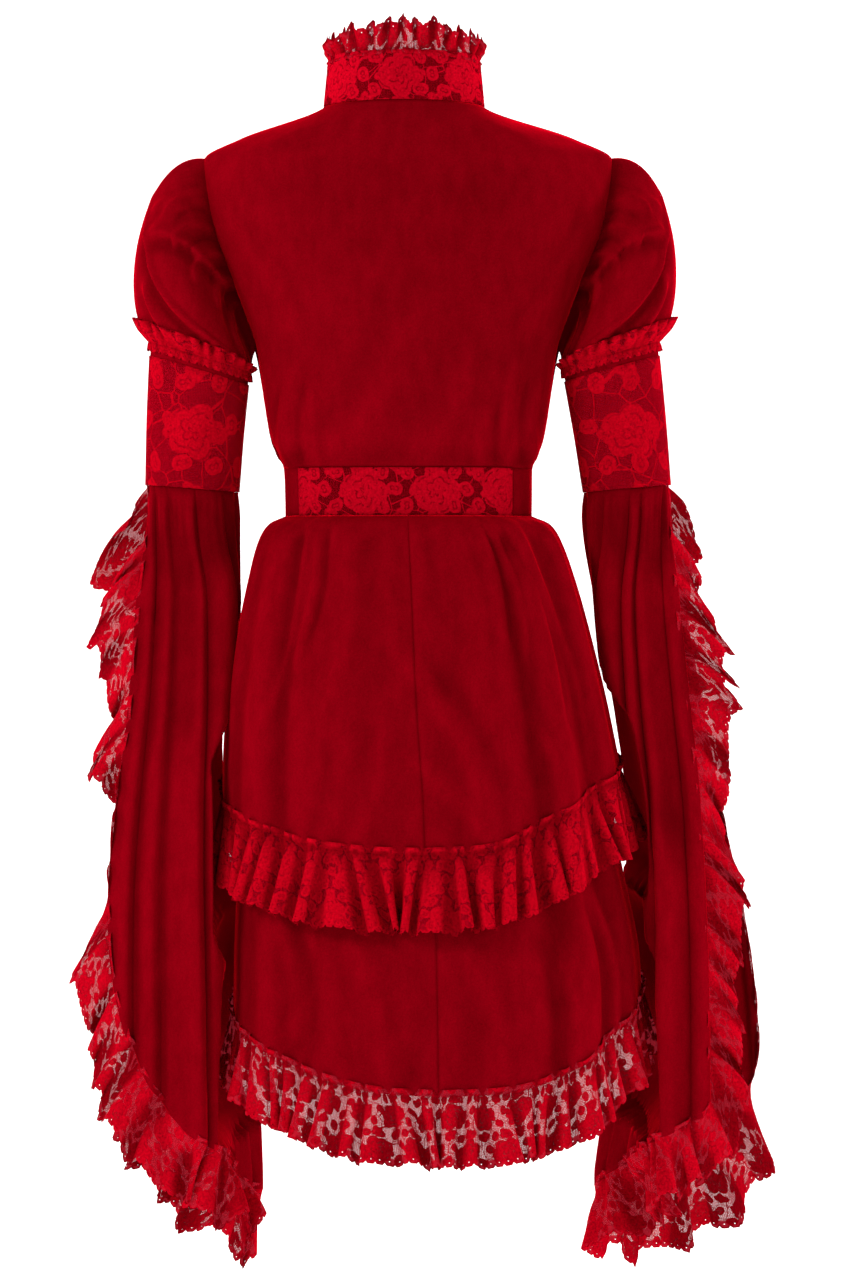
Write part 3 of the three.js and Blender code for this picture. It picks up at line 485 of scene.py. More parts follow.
# Buttons: six half balls of metal covered in a round of the same velvet, gathered under, sewn
# down the overlap of the fronts.
button_radius = 6.5
button_sunk = 0.9
dome_height = 0.62
underside_height = 0.22
button_velvet = pile_velvet("button_velvet", 2.0)
for number in range(1, 7):
    low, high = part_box(f"button_{number}")
    middle = (Vector(low) + Vector(high)) / 2
    bpy.ops.object.select_all(action="DESELECT")
    bpy.ops.mesh.primitive_uv_sphere_add(segments=24, ring_count=14, radius=button_radius * mm)
    dome = bpy.context.object
    dome.name = f"covered_button_{number}"
    for vertex in dome.data.vertices:
        place = vertex.co / mm
        angle = math.atan2(place.y, place.x)
        pleat = 1 + 0.03 * math.sin(9 * angle) * max(0.0, 0.6 - place.z / button_radius)
        flatter = dome_height if place.z > 0 else underside_height
        out = place.z * flatter
        spread = Vector((place.x * pleat, out - button_sunk, place.y * pleat)) * mm
        vertex.co = spread + middle
    bpy.ops.object.mode_set(mode="EDIT")
    bpy.ops.mesh.select_all(action="SELECT")
    bpy.ops.mesh.normals_make_consistent(inside=False)
    bpy.ops.object.mode_set(mode="OBJECT")
    bpy.ops.object.shade_smooth()
    dome.data.materials.append(button_velvet)
    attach(dome, "root")
    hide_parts(f"button_{number}")

# Collar: a velvet stand sewn into the neckline, covered with flower lace, and a gathered lace
# frill sewn to its top edge.
collar_height = 50
collar_columns = 141
stand_clear = 0.3
front_edge = 1.6
front_depth = 64
front_lower = 10
front_sag = 3
top_narrowing = 0.06


def path_lengths(path):
    """The length of a path up to each of its points."""
    step = np.linalg.norm(np.diff(path, axis=0), axis=-1)
    return np.concatenate([[0], np.cumsum(step)])


def at_lengths(where, lengths, values):
    """Values that are given along a path, read at other lengths of it."""
    return np.stack([np.interp(where, lengths, column) for column in values.T], axis=-1)


def along_path(path, count):
    """The same path in even steps of its length."""
    lengths = path_lengths(path)
    return at_lengths(np.linspace(0, lengths[-1], count), lengths, path)


t = np.linspace(0.5, 1, 40)
across, z = panel_across(t, np.full_like(t, shoulder), -1)
half_back = bodice_point(across, z, -1)
across, z = panel_across(np.linspace(0.5, 0.985, 40), np.full(40, shoulder), 1)
half_front = bodice_point(np.maximum(across, front_edge), z, 1)
mirror = np.array([-1, 1, 1])
neckline = np.concatenate([
    half_front[::-1] * mirror,
    half_back[1:] * mirror,
    half_back[::-1][1:-1],
    half_front,
])
neckline = along_path(neckline, collar_columns)
up = np.linspace(0, 1, 15)[:, None]
front_share = np.maximum(neckline[:, 1], 0)[None] / front_depth
inward = 1 - top_narrowing * up
height = stand_clear + (collar_height - front_lower * front_share) * up
height = height - front_sag * up * (1 - up) * front_share
stand = np.stack([
    neckline[None, :, 0] * inward,
    neckline[None, :, 1] * inward,
    neckline[None, :, 2] + height,
], axis=-1)
stand[:, 0, 0] = -front_edge
stand[:, -1, 0] = front_edge
turn_round = np.linspace(0, 40, collar_columns)[None]
stand_soft = folded(stand, 0.5 * np.sin(turn_round) * np.sin(np.pi * up))
lay_cloth("velvet_collar", stand_soft, velvet_wall, velvet, "collar_stand")


def flower_lace(name, flower, thread, ground, ground_alpha, scallop, cell, shift, glow=0.0):
    """Lace with roses and leaves on a fine net. The flower, the cell and the scallop are in metres.
    The UV map is the flat cut in metres, with its lower edge at V = 0. The glow is painted light:
    the open net gives off a red light of its own, as if lit through from behind."""
    cell_width, cell_tall = cell
    cloth = bpy.data.materials.new(name)
    cloth.use_nodes = True
    nodes, links = cloth.node_tree.nodes, cloth.node_tree.links
    shader = nodes["Principled BSDF"]

    def maths(operation, a, b=None, third=None):
        result = node_maths(nodes, links, operation, a, b)
        if third is not None:
            if isinstance(third, (int, float)):
                result.node.inputs[2].default_value = third
            else:
                links.new(third, result.node.inputs[2])
        return result

    def smooth_step(value, low, high):
        span = nodes.new("ShaderNodeMapRange")
        span.interpolation_type = "SMOOTHSTEP"
        span.inputs["From Min"].default_value = low
        span.inputs["From Max"].default_value = high
        links.new(value, span.inputs["Value"])
        return span.outputs["Result"]

    flat = nodes.new("ShaderNodeUVMap").outputs["UV"]
    wobble = nodes.new("ShaderNodeTexNoise")
    wobble.inputs["Scale"].default_value = 1.6 / flower
    wobble.inputs["Detail"].default_value = 2
    links.new(flat, wobble.inputs["Vector"])
    centred = nodes.new("ShaderNodeVectorMath")
    centred.operation = "SUBTRACT"
    centred.inputs[1].default_value = (0.5, 0.5, 0.5)
    links.new(wobble.outputs["Color"], centred.inputs[0])
    bent = nodes.new("ShaderNodeVectorMath")
    bent.operation = "MULTIPLY_ADD"
    bent.inputs[1].default_value = (flower * 0.12,) * 3
    links.new(centred.outputs[0], bent.inputs[0])
    links.new(flat, bent.inputs[2])
    split = nodes.new("ShaderNodeSeparateXYZ")
    links.new(bent.outputs[0], split.inputs[0])

    def motif(width, tall, shift_u, shift_v, petals, size, turns, lines):
        """One flower to a cell, every other row moved half a cell along."""
        row = maths("ADD", maths("DIVIDE", split.outputs["Y"], tall), shift_v)
        row_number = maths("FLOOR", row)
        odd = maths("FLOORED_MODULO", row_number, 2.0)
        column = maths("ADD", maths("DIVIDE", split.outputs["X"], width), shift_u)
        column = maths("MULTIPLY_ADD", odd, 0.5, column)
        cell = nodes.new("ShaderNodeCombineXYZ")
        links.new(maths("FLOOR", column), cell.inputs["X"])
        links.new(row_number, cell.inputs["Y"])
        chance = nodes.new("ShaderNodeTexWhiteNoise")
        chance.noise_dimensions = "3D"
        links.new(cell.outputs[0], chance.inputs["Vector"])
        x = maths("MULTIPLY", maths("SUBTRACT", maths("FRACT", column), 0.5), width)
        y = maths("MULTIPLY", maths("SUBTRACT", maths("FRACT", row), 0.5), tall)
        radius = maths("SQRT", maths("ADD", maths("MULTIPLY", x, x), maths("MULTIPLY", y, y)))
        angle = maths("ARCTAN2", y, x)
        angle = maths("MULTIPLY_ADD", chance.outputs["Value"], 6.283, angle)
        radius = maths("DIVIDE", radius, size)
        lobes = maths("ABSOLUTE", maths("COSINE", maths("MULTIPLY", angle, petals / 2)))
        edge = maths("MULTIPLY_ADD", lobes, 0.26, 0.74)
        inside = smooth_step(maths("SUBTRACT", edge, radius), 0.0, 0.06)
        spiral = maths("MULTIPLY", radius, lines)
        spiral = maths("MULTIPLY_ADD", angle, turns / 6.283, spiral)
        spiral = maths("MULTIPLY_ADD", lobes, -0.55, spiral)
        gap = maths("PINGPONG", spiral, 0.5)
        drawn = smooth_step(gap, 0.05, 0.16)
        return inside, maths("MULTIPLY", inside, drawn)

    big, big_lines = motif(cell_width, cell_tall, *shift, 5, flower * 0.5, 2, 3.0)
    small_shift = (shift[0] * 2 + 0.5, shift[1] * 2 + 0.5)
    small, small_lines = motif(cell_width / 2, cell_tall / 2, *small_shift, 4, flower * 0.2, 0, 1.6)
    leaf, leaf_lines = motif(cell_width / 3, cell_tall / 3, 0.1, 0.9, 2, flower * 0.17, 0, 1.2)
    stems = nodes.new("ShaderNodeTexVoronoi")
    stems.feature = "DISTANCE_TO_EDGE"
    stems.inputs["Scale"].default_value = 2.4 / flower
    links.new(bent.outputs[0], stems.inputs["Vector"])
    stem = maths("SUBTRACT", 1.0, smooth_step(stems.outputs["Distance"], 0.012, 0.034))
    net = nodes.new("ShaderNodeTexVoronoi")
    net.feature = "DISTANCE_TO_EDGE"
    net.inputs["Scale"].default_value = 640
    net.inputs["Randomness"].default_value = 0.35
    links.new(flat, net.inputs["Vector"])
    mesh = maths("SUBTRACT", 1.0, smooth_step(net.outputs["Distance"], 0.06, 0.22))
    flower_lines = maths("MAXIMUM", big_lines, small_lines)
    solid = maths("MAXIMUM", flower_lines, maths("MAXIMUM", leaf_lines, stem))
    area = maths("MAXIMUM", maths("MAXIMUM", big, small), maths("MAXIMUM", leaf, stem))
    alpha = maths("MULTIPLY_ADD", mesh, 1 - ground_alpha, ground_alpha)
    alpha = maths("MAXIMUM", alpha, maths("MULTIPLY", area, 0.9))
    alpha = maths("MAXIMUM", alpha, solid)
    relief = solid
    if scallop:
        cut = nodes.new("ShaderNodeSeparateXYZ")
        links.new(flat, cut.inputs[0])
        bow = maths("SINE", maths("MULTIPLY", cut.outputs["X"], math.pi / scallop))
        bow = maths("ABSOLUTE", bow)
        from_edge = maths("MULTIPLY_ADD", bow, scallop * 0.5, cut.outputs["Y"])
        kept = smooth_step(from_edge, scallop * 0.26, scallop * 0.33)
        cord = maths("SUBTRACT", 1.0, smooth_step(from_edge, scallop * 0.5, scallop * 0.62))
        hole_x = maths("PINGPONG", maths("ADD", cut.outputs["X"], scallop * 0.5), scallop * 0.5)
        hole_y = maths("SUBTRACT", cut.outputs["Y"], scallop * 0.55)
        hole = maths("ADD", maths("MULTIPLY", hole_x, hole_x), maths("MULTIPLY", hole_y, hole_y))
        hole = maths("SQRT", hole)
        eyelet = smooth_step(hole, scallop * 0.03, scallop * 0.09)
        band = maths("SUBTRACT", 1.0, smooth_step(cut.outputs["Y"], scallop * 0.9, scallop * 1.1))
        alpha = maths("MAXIMUM", alpha, maths("MAXIMUM", cord, band))
        relief = maths("MAXIMUM", relief, cord)
        alpha = maths("MULTIPLY", maths("MULTIPLY", alpha, eyelet), kept)
    colours = nodes.new("ShaderNodeMix")
    colours.data_type = "RGBA"
    colours.inputs["A"].default_value = (*ground, 1)
    colours.inputs["B"].default_value = (*thread, 1)
    drawn_share = maths("MULTIPLY_ADD", relief, 0.75, maths("MULTIPLY", area, 0.25))
    links.new(drawn_share, colours.inputs["Factor"])
    place = nodes.new("ShaderNodeTexCoord").outputs["Object"]
    grain = noise(nodes, links, place, 420, 2)
    span = nodes.new("ShaderNodeMapRange")
    span.inputs["From Min"].default_value = 0.3
    span.inputs["From Max"].default_value = 0.7
    span.inputs["To Min"].default_value = 0.72
    span.inputs["To Max"].default_value = 1.2
    links.new(grain, span.inputs["Value"])
    threads = nodes.new("ShaderNodeVectorMath")
    threads.operation = "MULTIPLY"
    links.new(colours.outputs["Result"], threads.inputs[0])
    links.new(span.outputs["Result"], threads.inputs[1])
    # painted shade and highlight: the lace is darker in the fold troughs and brighter on the ridges
    shaded = painted_fold_shade(nodes, links, threads.outputs[0], 0.6, 1.38)
    links.new(shaded, shader.inputs["Base Color"])
    # painted glow: the open net gives off a red light of its own, as if lit through from behind
    if glow:
        shader.inputs["Emission Color"].default_value = (1.0, 0.05, 0.09, 1)
        see_through = maths("SUBTRACT", 1.0, maths("MAXIMUM", area, cord))
        links.new(maths("MULTIPLY", see_through, glow), shader.inputs["Emission Strength"])
    links.new(alpha, shader.inputs["Alpha"])
    shader.inputs["Roughness"].default_value = 0.6
    shader.inputs["Specular IOR Level"].default_value = 0.0
    shader.inputs["Sheen Weight"].default_value = 0.25
    shader.inputs["Sheen Roughness"].default_value = 0.5
    shader.inputs["Sheen Tint"].default_value = (1.0, 0.0, 0.015, 1)
    bump = nodes.new("ShaderNodeBump")
    bump.inputs["Strength"].default_value = 0.6
    bump.inputs["Distance"].default_value = 0.0007
    links.new(relief, bump.inputs["Height"])
    links.new(bump.outputs["Normal"], shader.inputs["Normal"])
    return cloth


overlay_lift = velvet_wall / 2 + seam_gap + lace_wall / 2
bright_red = (0.36, 0.0006, 0.0075)
frill_red = (0.31, 0.0004, 0.0055)
lace_red = (0.21, 0.0004, 0.0050)
ground_red = (0.17, 0.0002, 0.0035)
thread_wall = lace_wall * 0.6
collar_rose_lace = flower_lace(
    "collar_rose_lace", 0.048, bright_red, ground_red, 0.3, 0, (0.070, 0.050), (0.16, 0)
)
collar_over = folded(stand, np.full(stand.shape[:2], overlay_lift))
lay_cloth(
    "lace_collar", collar_over, thread_wall, collar_rose_lace, "collar_lace",
)


def wander(at, seed):
    """A smooth uneven run between -1 and 1."""
    waves = ((1.7, 2.1), (2.9, 5.3), (4.3, 1.3))
    return sum(np.sin(at * pace + seed * start) for pace, start in waves) / 2.4


def gathered(edge, away, out, normal, size, seed):
    """A gathered strip sewn along an edge: its folds are narrow at the gather line and open out
    towards the free edge, uneven in width and depth. Returns rows from the free edge up."""
    columns = size["folds"] * size["per_fold"] + 1
    lengths = path_lengths(edge)
    total = lengths[-1]
    s = np.linspace(0, 1, columns)
    phase = 2 * np.pi * size["folds"] * s + size["uneven"] * wander(size["folds"] * s, seed)
    pitch = total / size["folds"]
    rows = []
    drops = np.concatenate([
        size["depth"] * np.linspace(1, 0, size["rows"]) ** 0.9,
        -size["header"] * np.linspace(0, 1, 4)[1:],
    ])
    grow = np.ones(columns)
    if size.get("start"):
        run = np.minimum(s, 1 - s) * total
        grow = mix(0.3, 1, ease(run / size["start"]))
    strength = size["swing"] * (0.8 + 0.45 * wander(size["folds"] * s * 0.61, seed + 3)) * grow
    drop_uneven = 1 + size.get("ragged", 0.03) * wander(size["folds"] * s * 0.83, seed + 7)
    if size.get("narrow"):
        drop_uneven = drop_uneven * mix(size["narrow"], 1, ease((s - 0.34) / 0.08))
    for drop in drops:
        open_out = np.clip(abs(drop) / size["depth"], 0, 1) ** 0.75
        if drop < 0:
            open_out = np.clip(abs(drop) / size["header"], 0, 1) * size["header_swing"]
        fine = np.exp(-abs(drop) / 9) * 0.9
        shift = -0.075 * pitch * np.sin(2 * phase) * open_out
        shift += size.get("slant", 0) * max(drop, 0) * wander(size["folds"] * s * 0.4, seed + 1)
        where = np.clip(s * total + shift, 0, total)
        base = at_lengths(where, lengths, edge)
        spread = unit(at_lengths(where, lengths, out))
        swing_way = unit(at_lengths(where, lengths, normal))
        tilt = (size.get("flip", 0.1) * wander(size["folds"] * s * 0.36, seed + 9) * grow)[:, None]
        tilt = tilt * min(abs(drop) / 20, 1)
        spread, swing_way = (
            spread * np.cos(tilt) + swing_way * np.sin(tilt),
            swing_way * np.cos(tilt) - spread * np.sin(tilt),
        )
        lift_way = unit(at_lengths(where, lengths, away))
        wave = np.sin(phase) + 0.22 * np.sin(2 * phase + 1.1 * wander(size["folds"] * s * 0.3, seed + 5))
        moved = size["lean"] * (max(drop, 0) / size["depth"]) + strength * open_out * wave
        if drop < 0:
            moved = size["header_lift"] + strength * open_out * wave
        moved = moved + fine * np.sin(2.0 * phase + 1.0)
        sag = size.get("sag", 0) * (max(drop, 0) / size["depth"]) ** 2 * grow
        tip = 0.5 - np.abs(np.sin(phase / 2 + 0.6)) ** 0.7
        pointed = 1 + size.get("tips", 0.1) * tip * (max(drop, 0) / size["depth"]) ** 2
        reach = drop * drop_uneven * pointed * (grow if drop > 0 else 1)
        place = base + lift_way * size["start_gap"]
        place = place + spread * reach[:, None] + swing_way * np.asarray(moved)[:, None]
        place[:, 2] -= sag
        rows.append(place)
    return np.stack(rows)


strip_gap = seam_gap + lace_wall / 2
frill_fall = 15
fall_reach = 80
ruffle_lace = flower_lace(
    "ruffle_lace", 0.036, frill_red, lace_red, 0.5, 0.0085, (0.043, 0.036), (0.2, 0.1)
)
# the hem lace's open net carries a painted glow
hem_lace = flower_lace(
    "hem_lace", 0.030, frill_red, lace_red, 0.5, 0.0085, (0.046, 0.036), (0.3, 0.1), 0.17
)
collar_frill = {
    "folds": 30, "per_fold": 12, "rows": 10, "depth": 31, "header": 5, "header_swing": 0.5,
    "header_lift": 2.6, "swing": 4.6, "lean": 5, "uneven": 0.9, "start_gap": strip_gap,
    "ragged": 0.07, "slant": 0.1, "tips": 0.3,
}
top_edge = stand[-1]
upward = np.tile([0.0, 0.0, 1.0], (len(top_edge), 1))
outward = unit(top_edge * [1, 1, 0])
frill = gathered(top_edge, upward, upward, outward, collar_frill, 1)
climb = np.clip((frill[..., 2] - top_edge[:, 2].mean()) / collar_frill["depth"], 0, 1)
from_back = np.hypot(frill[..., 0], 0.5 * np.maximum(frill[..., 1], 0)) / fall_reach
frill[..., 2] -= frill_fall * climb * np.clip(from_back, 0, 1.2) ** 2
lay_cloth(
    "lace_collar_frill", frill[:, ::-1], thread_wall, hem_lace, "collar_ruffle",
)

# Waistband: a straight velvet band in three sections, joined at two seams behind, sewn between
# bodice and skirt. Flower lace lies over the back section.


def band_form(from_turn, to_turn, columns, out):
    """The waistband's form from one turn in degrees to another, 0 at the centre back."""
    turn = np.radians(np.linspace(from_turn, to_turn, columns))[None]
    z = np.linspace(waistband_foot, waistband_top, 13)[:, None]
    half = read(bodice, "z", z, "half") + out
    behind = np.cos(turn) > 0
    depth = np.where(behind, read(bodice, "z", z, "back"), read(bodice, "z", z, "front")) + out
    deep = roundness(np.sin(turn)) * np.sign(np.cos(turn))
    x = read(bodice, "z", z, "middle") + half * np.sin(turn)
    return np.stack([x, -depth * deep, np.broadcast_to(z, x.shape)], axis=-1)


section_gap = 0.2
for name, node, from_turn, to_turn, columns in (
    ("velvet_belt_back", "waistband_back", -62, 57, 90),
    ("velvet_belt_left", "waistband_left", -179.6, -62 - section_gap, 90),
    ("velvet_belt_right", "waistband_right", 57 + section_gap, 179.6, 90),
):
    belt = band_form(from_turn, to_turn, columns, 0)
    along = np.linspace(0, 1, columns)[None]
    rise = 0.35 * np.sin(along * 47) * np.sin(np.linspace(0, np.pi, 13))[:, None]
    lay_cloth(name, folded(belt, rise), velvet_wall, velvet, node)
belt_lace = band_form(-61, 56, 110, overlay_lift)
belt_rose_lace = flower_lace(
    "belt_rose_lace", 0.050, bright_red, ground_red, 0.3, 0, (0.072, 0.050), (0.46, 0.02)
)
lay_cloth(
    "lace_belt", belt_lace, thread_wall, belt_rose_lace, "waistband_lace",
)

# Skirt: two tiers, each of two backs with a centre seam and two fronts, flared and gathered into
# the waistband, open down the front and longer behind. Each hem carries a gathered lace ruffle.
upper_skirt = {
    "z": [-416.6, -424, -440, -480, -540, -620, -690, -760],
    "half": [124, 140, 150.5, 163.5, 178, 193, 201, 205],
    "back": [86, 99, 110, 126, 140, 152, 160, 166],
    "front": [93, 104, 112, 121, 130, 138, 143, 147],
    "middle": [4.5, 5, 5.5, 7.5, 10, 14, 19, 22],
}
lower_skirt = {
    "z": [-540, -620, -700, -760, -860, -990],
    "half": [166, 180, 188, 192, 203, 207],
    "back": [128, 140, 147, 151, 162, 175],
    "front": [118, 126, 130, 133, 142, 151],
    "middle": [10, 14, 19, 25, 33, 35],
}
upper_hem = {
    "foot": -752,
    "turn": [0, 15, 35, 62, 90, 135, 180],
    "left": [0, 2, 10, 34, 62, 112, 150],
    "right": [0, 3, 28, 66, 87, 122, 150],
}
lower_hem = {
    "foot": -990,
    "turn": [0, 15, 35, 62, 90, 135, 180],
    "left": [0, 3, 18, 50, 84, 132, 165],
    "right": [0, 2, 17, 66, 105, 142, 165],
}
skirt_folds = {
    "turn": [-72, -57, -45, -25, 21, 36, 46, 57, 68],
    "width": [7, 6, 5, 9, 8, 5, 5, 5, 6],
    "out": [5, 6, -5, 3, 3.5, -5, 6, -4, 6],
}
front_spread = 9
seam_turn = 0.01
hem_power = 1.25
tuck_in = velvet_wall + seam_gap * 2


def hem_height(hem, turn):
    """Height of a tier's hem at a turn in degrees from the centre back."""
    rise = np.where(
        turn < 0,
        read(hem, "turn", np.abs(turn), "left"),
        read(hem, "turn", np.abs(turn), "right"),
    )
    return hem["foot"] + rise


def skirt_point(table, turn, z, fold_share, fine):
    """A point of a tier at a turn from the centre back, with its folds and finer creases."""
    angle = np.radians(turn)
    half = read(table, "z", z, "half")
    behind = np.abs(turn) < 90
    depth = np.where(behind, read(table, "z", z, "back"), read(table, "z", z, "front"))
    out = np.zeros(np.broadcast(turn, z).shape)
    for place, width, stand_out in zip(*(skirt_folds[k] for k in ("turn", "width", "out"))):
        out = out + stand_out * np.exp(-(((turn - place) / width) ** 2))
    out = out * fold_share * ease((waistband_foot - z) / 30) + fine
    deep = roundness(np.sin(angle)) * np.sign(np.cos(angle))
    way_x, way_y = np.sin(angle) / half, -deep / depth
    size = np.hypot(way_x, way_y)
    x = read(table, "z", z, "middle") + half * np.sin(angle) + way_x / size * out
    return np.stack([x, -depth * deep + way_y / size * out, z], axis=-1)


upper_creases = [
    # turn in mm round the hip, height, to turn, to height, width, out
    (-96, -424, -104, -560, 4.0, 3.2),
    (-86, -424, -92, -540, 3.6, -2.6),
    (88, -424, 98, -560, 4.0, 3.4),
    (80, -424, 86, -540, 3.6, -2.8),
    (104, -426, 128, -620, 4.5, -2.4),
    (116, -430, 150, -660, 5.5, 2.6),
    (-112, -428, -140, -640, 5.0, 2.4),
    (-60, -430, -72, -600, 6.0, 1.5),
    (54, -430, 62, -580, 6.0, -1.3),
    (-4, -560, 44, -716, 8.5, 2.4),
    (14, -560, 62, -700, 8.0, -2.0),
    (-2, -660, 50, -752, 7.5, 2.2),
    (-28, -600, -52, -744, 9.0, 1.8),
    (-70, -640, -92, -742, 8.0, -1.8),
    (96, -620, 120, -724, 7.0, 2.4),
    (40, -470, 20, -600, 9.0, -1.4),
    (-30, -470, -16, -610, 9.0, 1.3),
]
lower_creases = [
    (-136, -800, -118, -940, 8.0, 3.0),
    (-112, -820, -98, -960, 7.0, -2.4),
    (-60, -840, -44, -984, 10, 2.0),
    (-10, -850, -22, -985, 9, -1.8),
    (22, -840, 40, -985, 10, 2.2),
    (76, -830, 92, -975, 8.0, -2.2),
    (140, -790, 152, -935, 5.5, 3.4),
    (126, -800, 136, -945, 5.0, -2.8),
    (100, -850, 112, -960, 7.0, 2.0),
]
hip_run = 2.6
skirt_panels = {
    "back_left": (-seam_turn, -90 + seam_turn, 97, -1),
    "back_right": (seam_turn, 90 - seam_turn, 97, -1),
    "front_left": (-90 - seam_turn, -180 + 0.8, 71, 1),
    "front_right": (90 + seam_turn, 180 - 0.8, 71, 1),
}


def tier_panel(table, hem, creased, start, from_turn, to_turn, columns, fold_share, power):
    """Rows from the waist to the hem, columns from the centre or side seam on."""
    v, t = np.meshgrid(np.linspace(0, 1, 73), np.linspace(0, 1, columns), indexing="ij")
    spread = front_spread * v if abs(to_turn) > 179 else 0
    turn = mix(from_turn, to_turn - np.sign(to_turn) * spread, t)
    foot = hem_height(hem, turn)
    top = start(turn) if callable(start) else start
    z = mix(top, foot, v**power)
    side = 1 if from_turn > 0 else -1
    run = np.where(np.abs(turn) < 90, turn, side * (180 - np.abs(turn))) * hip_run
    fine = creases(run, z, creased)
    waist = ease((waistband_foot - z) / 12) * np.exp((z - waistband_foot) / 60)
    fine = fine + 1.3 * waist * np.sin(np.radians(turn) * 26 + 1.5 * np.sin(np.radians(turn) * 7))
    seam = np.exp(-((turn / 0.7) ** 2)) * ease((waistband_foot - z) / 20)
    return skirt_point(table, turn, z, fold_share, fine - 1.2 * seam), turn, z


upper_points = {}
lower_points = {}
for name, (from_turn, to_turn, columns, facing) in skirt_panels.items():
    panel, _, _ = tier_panel(
        upper_skirt, upper_hem, upper_creases, upper_skirt["z"][0],
        from_turn, to_turn, columns, 1, hem_power,
    )
    panel[..., 1] = facing * np.maximum(facing * panel[..., 1], side_clear)
    upper_points[name] = panel
    laid = panel[::-1] if from_turn > 0 else panel[::-1, ::-1]
    lay_cloth(f"velvet_upper_{name}", laid, velvet_wall, velvet, f"upper_skirt_{name}")

for name, (from_turn, to_turn, columns, facing) in skirt_panels.items():
    v_top = 5 / 6 if facing < 0 else 4 / 5

    def tucked_top(turn):
        return mix(upper_skirt["z"][0], hem_height(upper_hem, turn), v_top**hem_power)

    panel, turn, z = tier_panel(
        lower_skirt, lower_hem, lower_creases, tucked_top, from_turn, to_turn, columns, 0.8, 1
    )
    # the first stretch follows the inside of the upper tier
    inside = skirt_point(upper_skirt, turn, z, 1, 0)
    inside = inside - unit(inside * [1, 1, 0]) * (tuck_in + 0.6)
    share = ease((tucked_top(turn) - z) / 60)[..., None]
    panel = inside * (1 - share) + panel * share
    panel[..., 1] = facing * np.maximum(facing * panel[..., 1], side_clear)
    lower_points[name] = panel
    laid = panel[::-1] if from_turn > 0 else panel[::-1, ::-1]
    lay_cloth(f"velvet_lower_{name}", laid, velvet_wall, velvet, f"lower_skirt_{name}")


def hem_edge(points):
    """The hem of a tier from the left front edge, by the back, to the right front edge."""
    feet, ways = [], []
    for name in ("front_left", "back_left", "back_right", "front_right"):
        flip = name.endswith("left")
        foot = points[name][-1]
        way = unit(foot - points[name][-8])
        way[:, 2] -= 1
        way = unit(way)
        feet.append(foot[::-1] if flip else foot)
        ways.append(way[::-1] if flip else way)
    feet, ways = np.concatenate(feet), np.concatenate(ways)
    return feet, ways, unit(feet * [1, 1, 0])


upper_ruffle = {
    "folds": 46, "per_fold": 12, "rows": 13, "depth": 78, "header": 8, "header_swing": 0.35,
    "header_lift": 2.4, "swing": 9.0, "lean": 9, "uneven": 1.3, "start_gap": strip_gap,
    "slant": 0.22,
}
lower_ruffle = {
    "folds": 48, "per_fold": 12, "rows": 13, "depth": 70, "header": 8, "header_swing": 0.35,
    "header_lift": 2.4, "swing": 9.2, "lean": 8, "uneven": 1.3, "start_gap": strip_gap, "slant": 0.22,
}
for name, points, size, seed, lace in (
    ("upper", upper_points, upper_ruffle, 2, ruffle_lace),
    ("lower", lower_points, lower_ruffle, 4, hem_lace),
):
    edge, out, normal = hem_edge(points)
    ruffle = gathered(edge, out, out, normal, size, seed)
    lay_cloth(
        f"lace_{name}_ruffle", ruffle, thread_wall, lace, f"{name}_ruffle",
    )

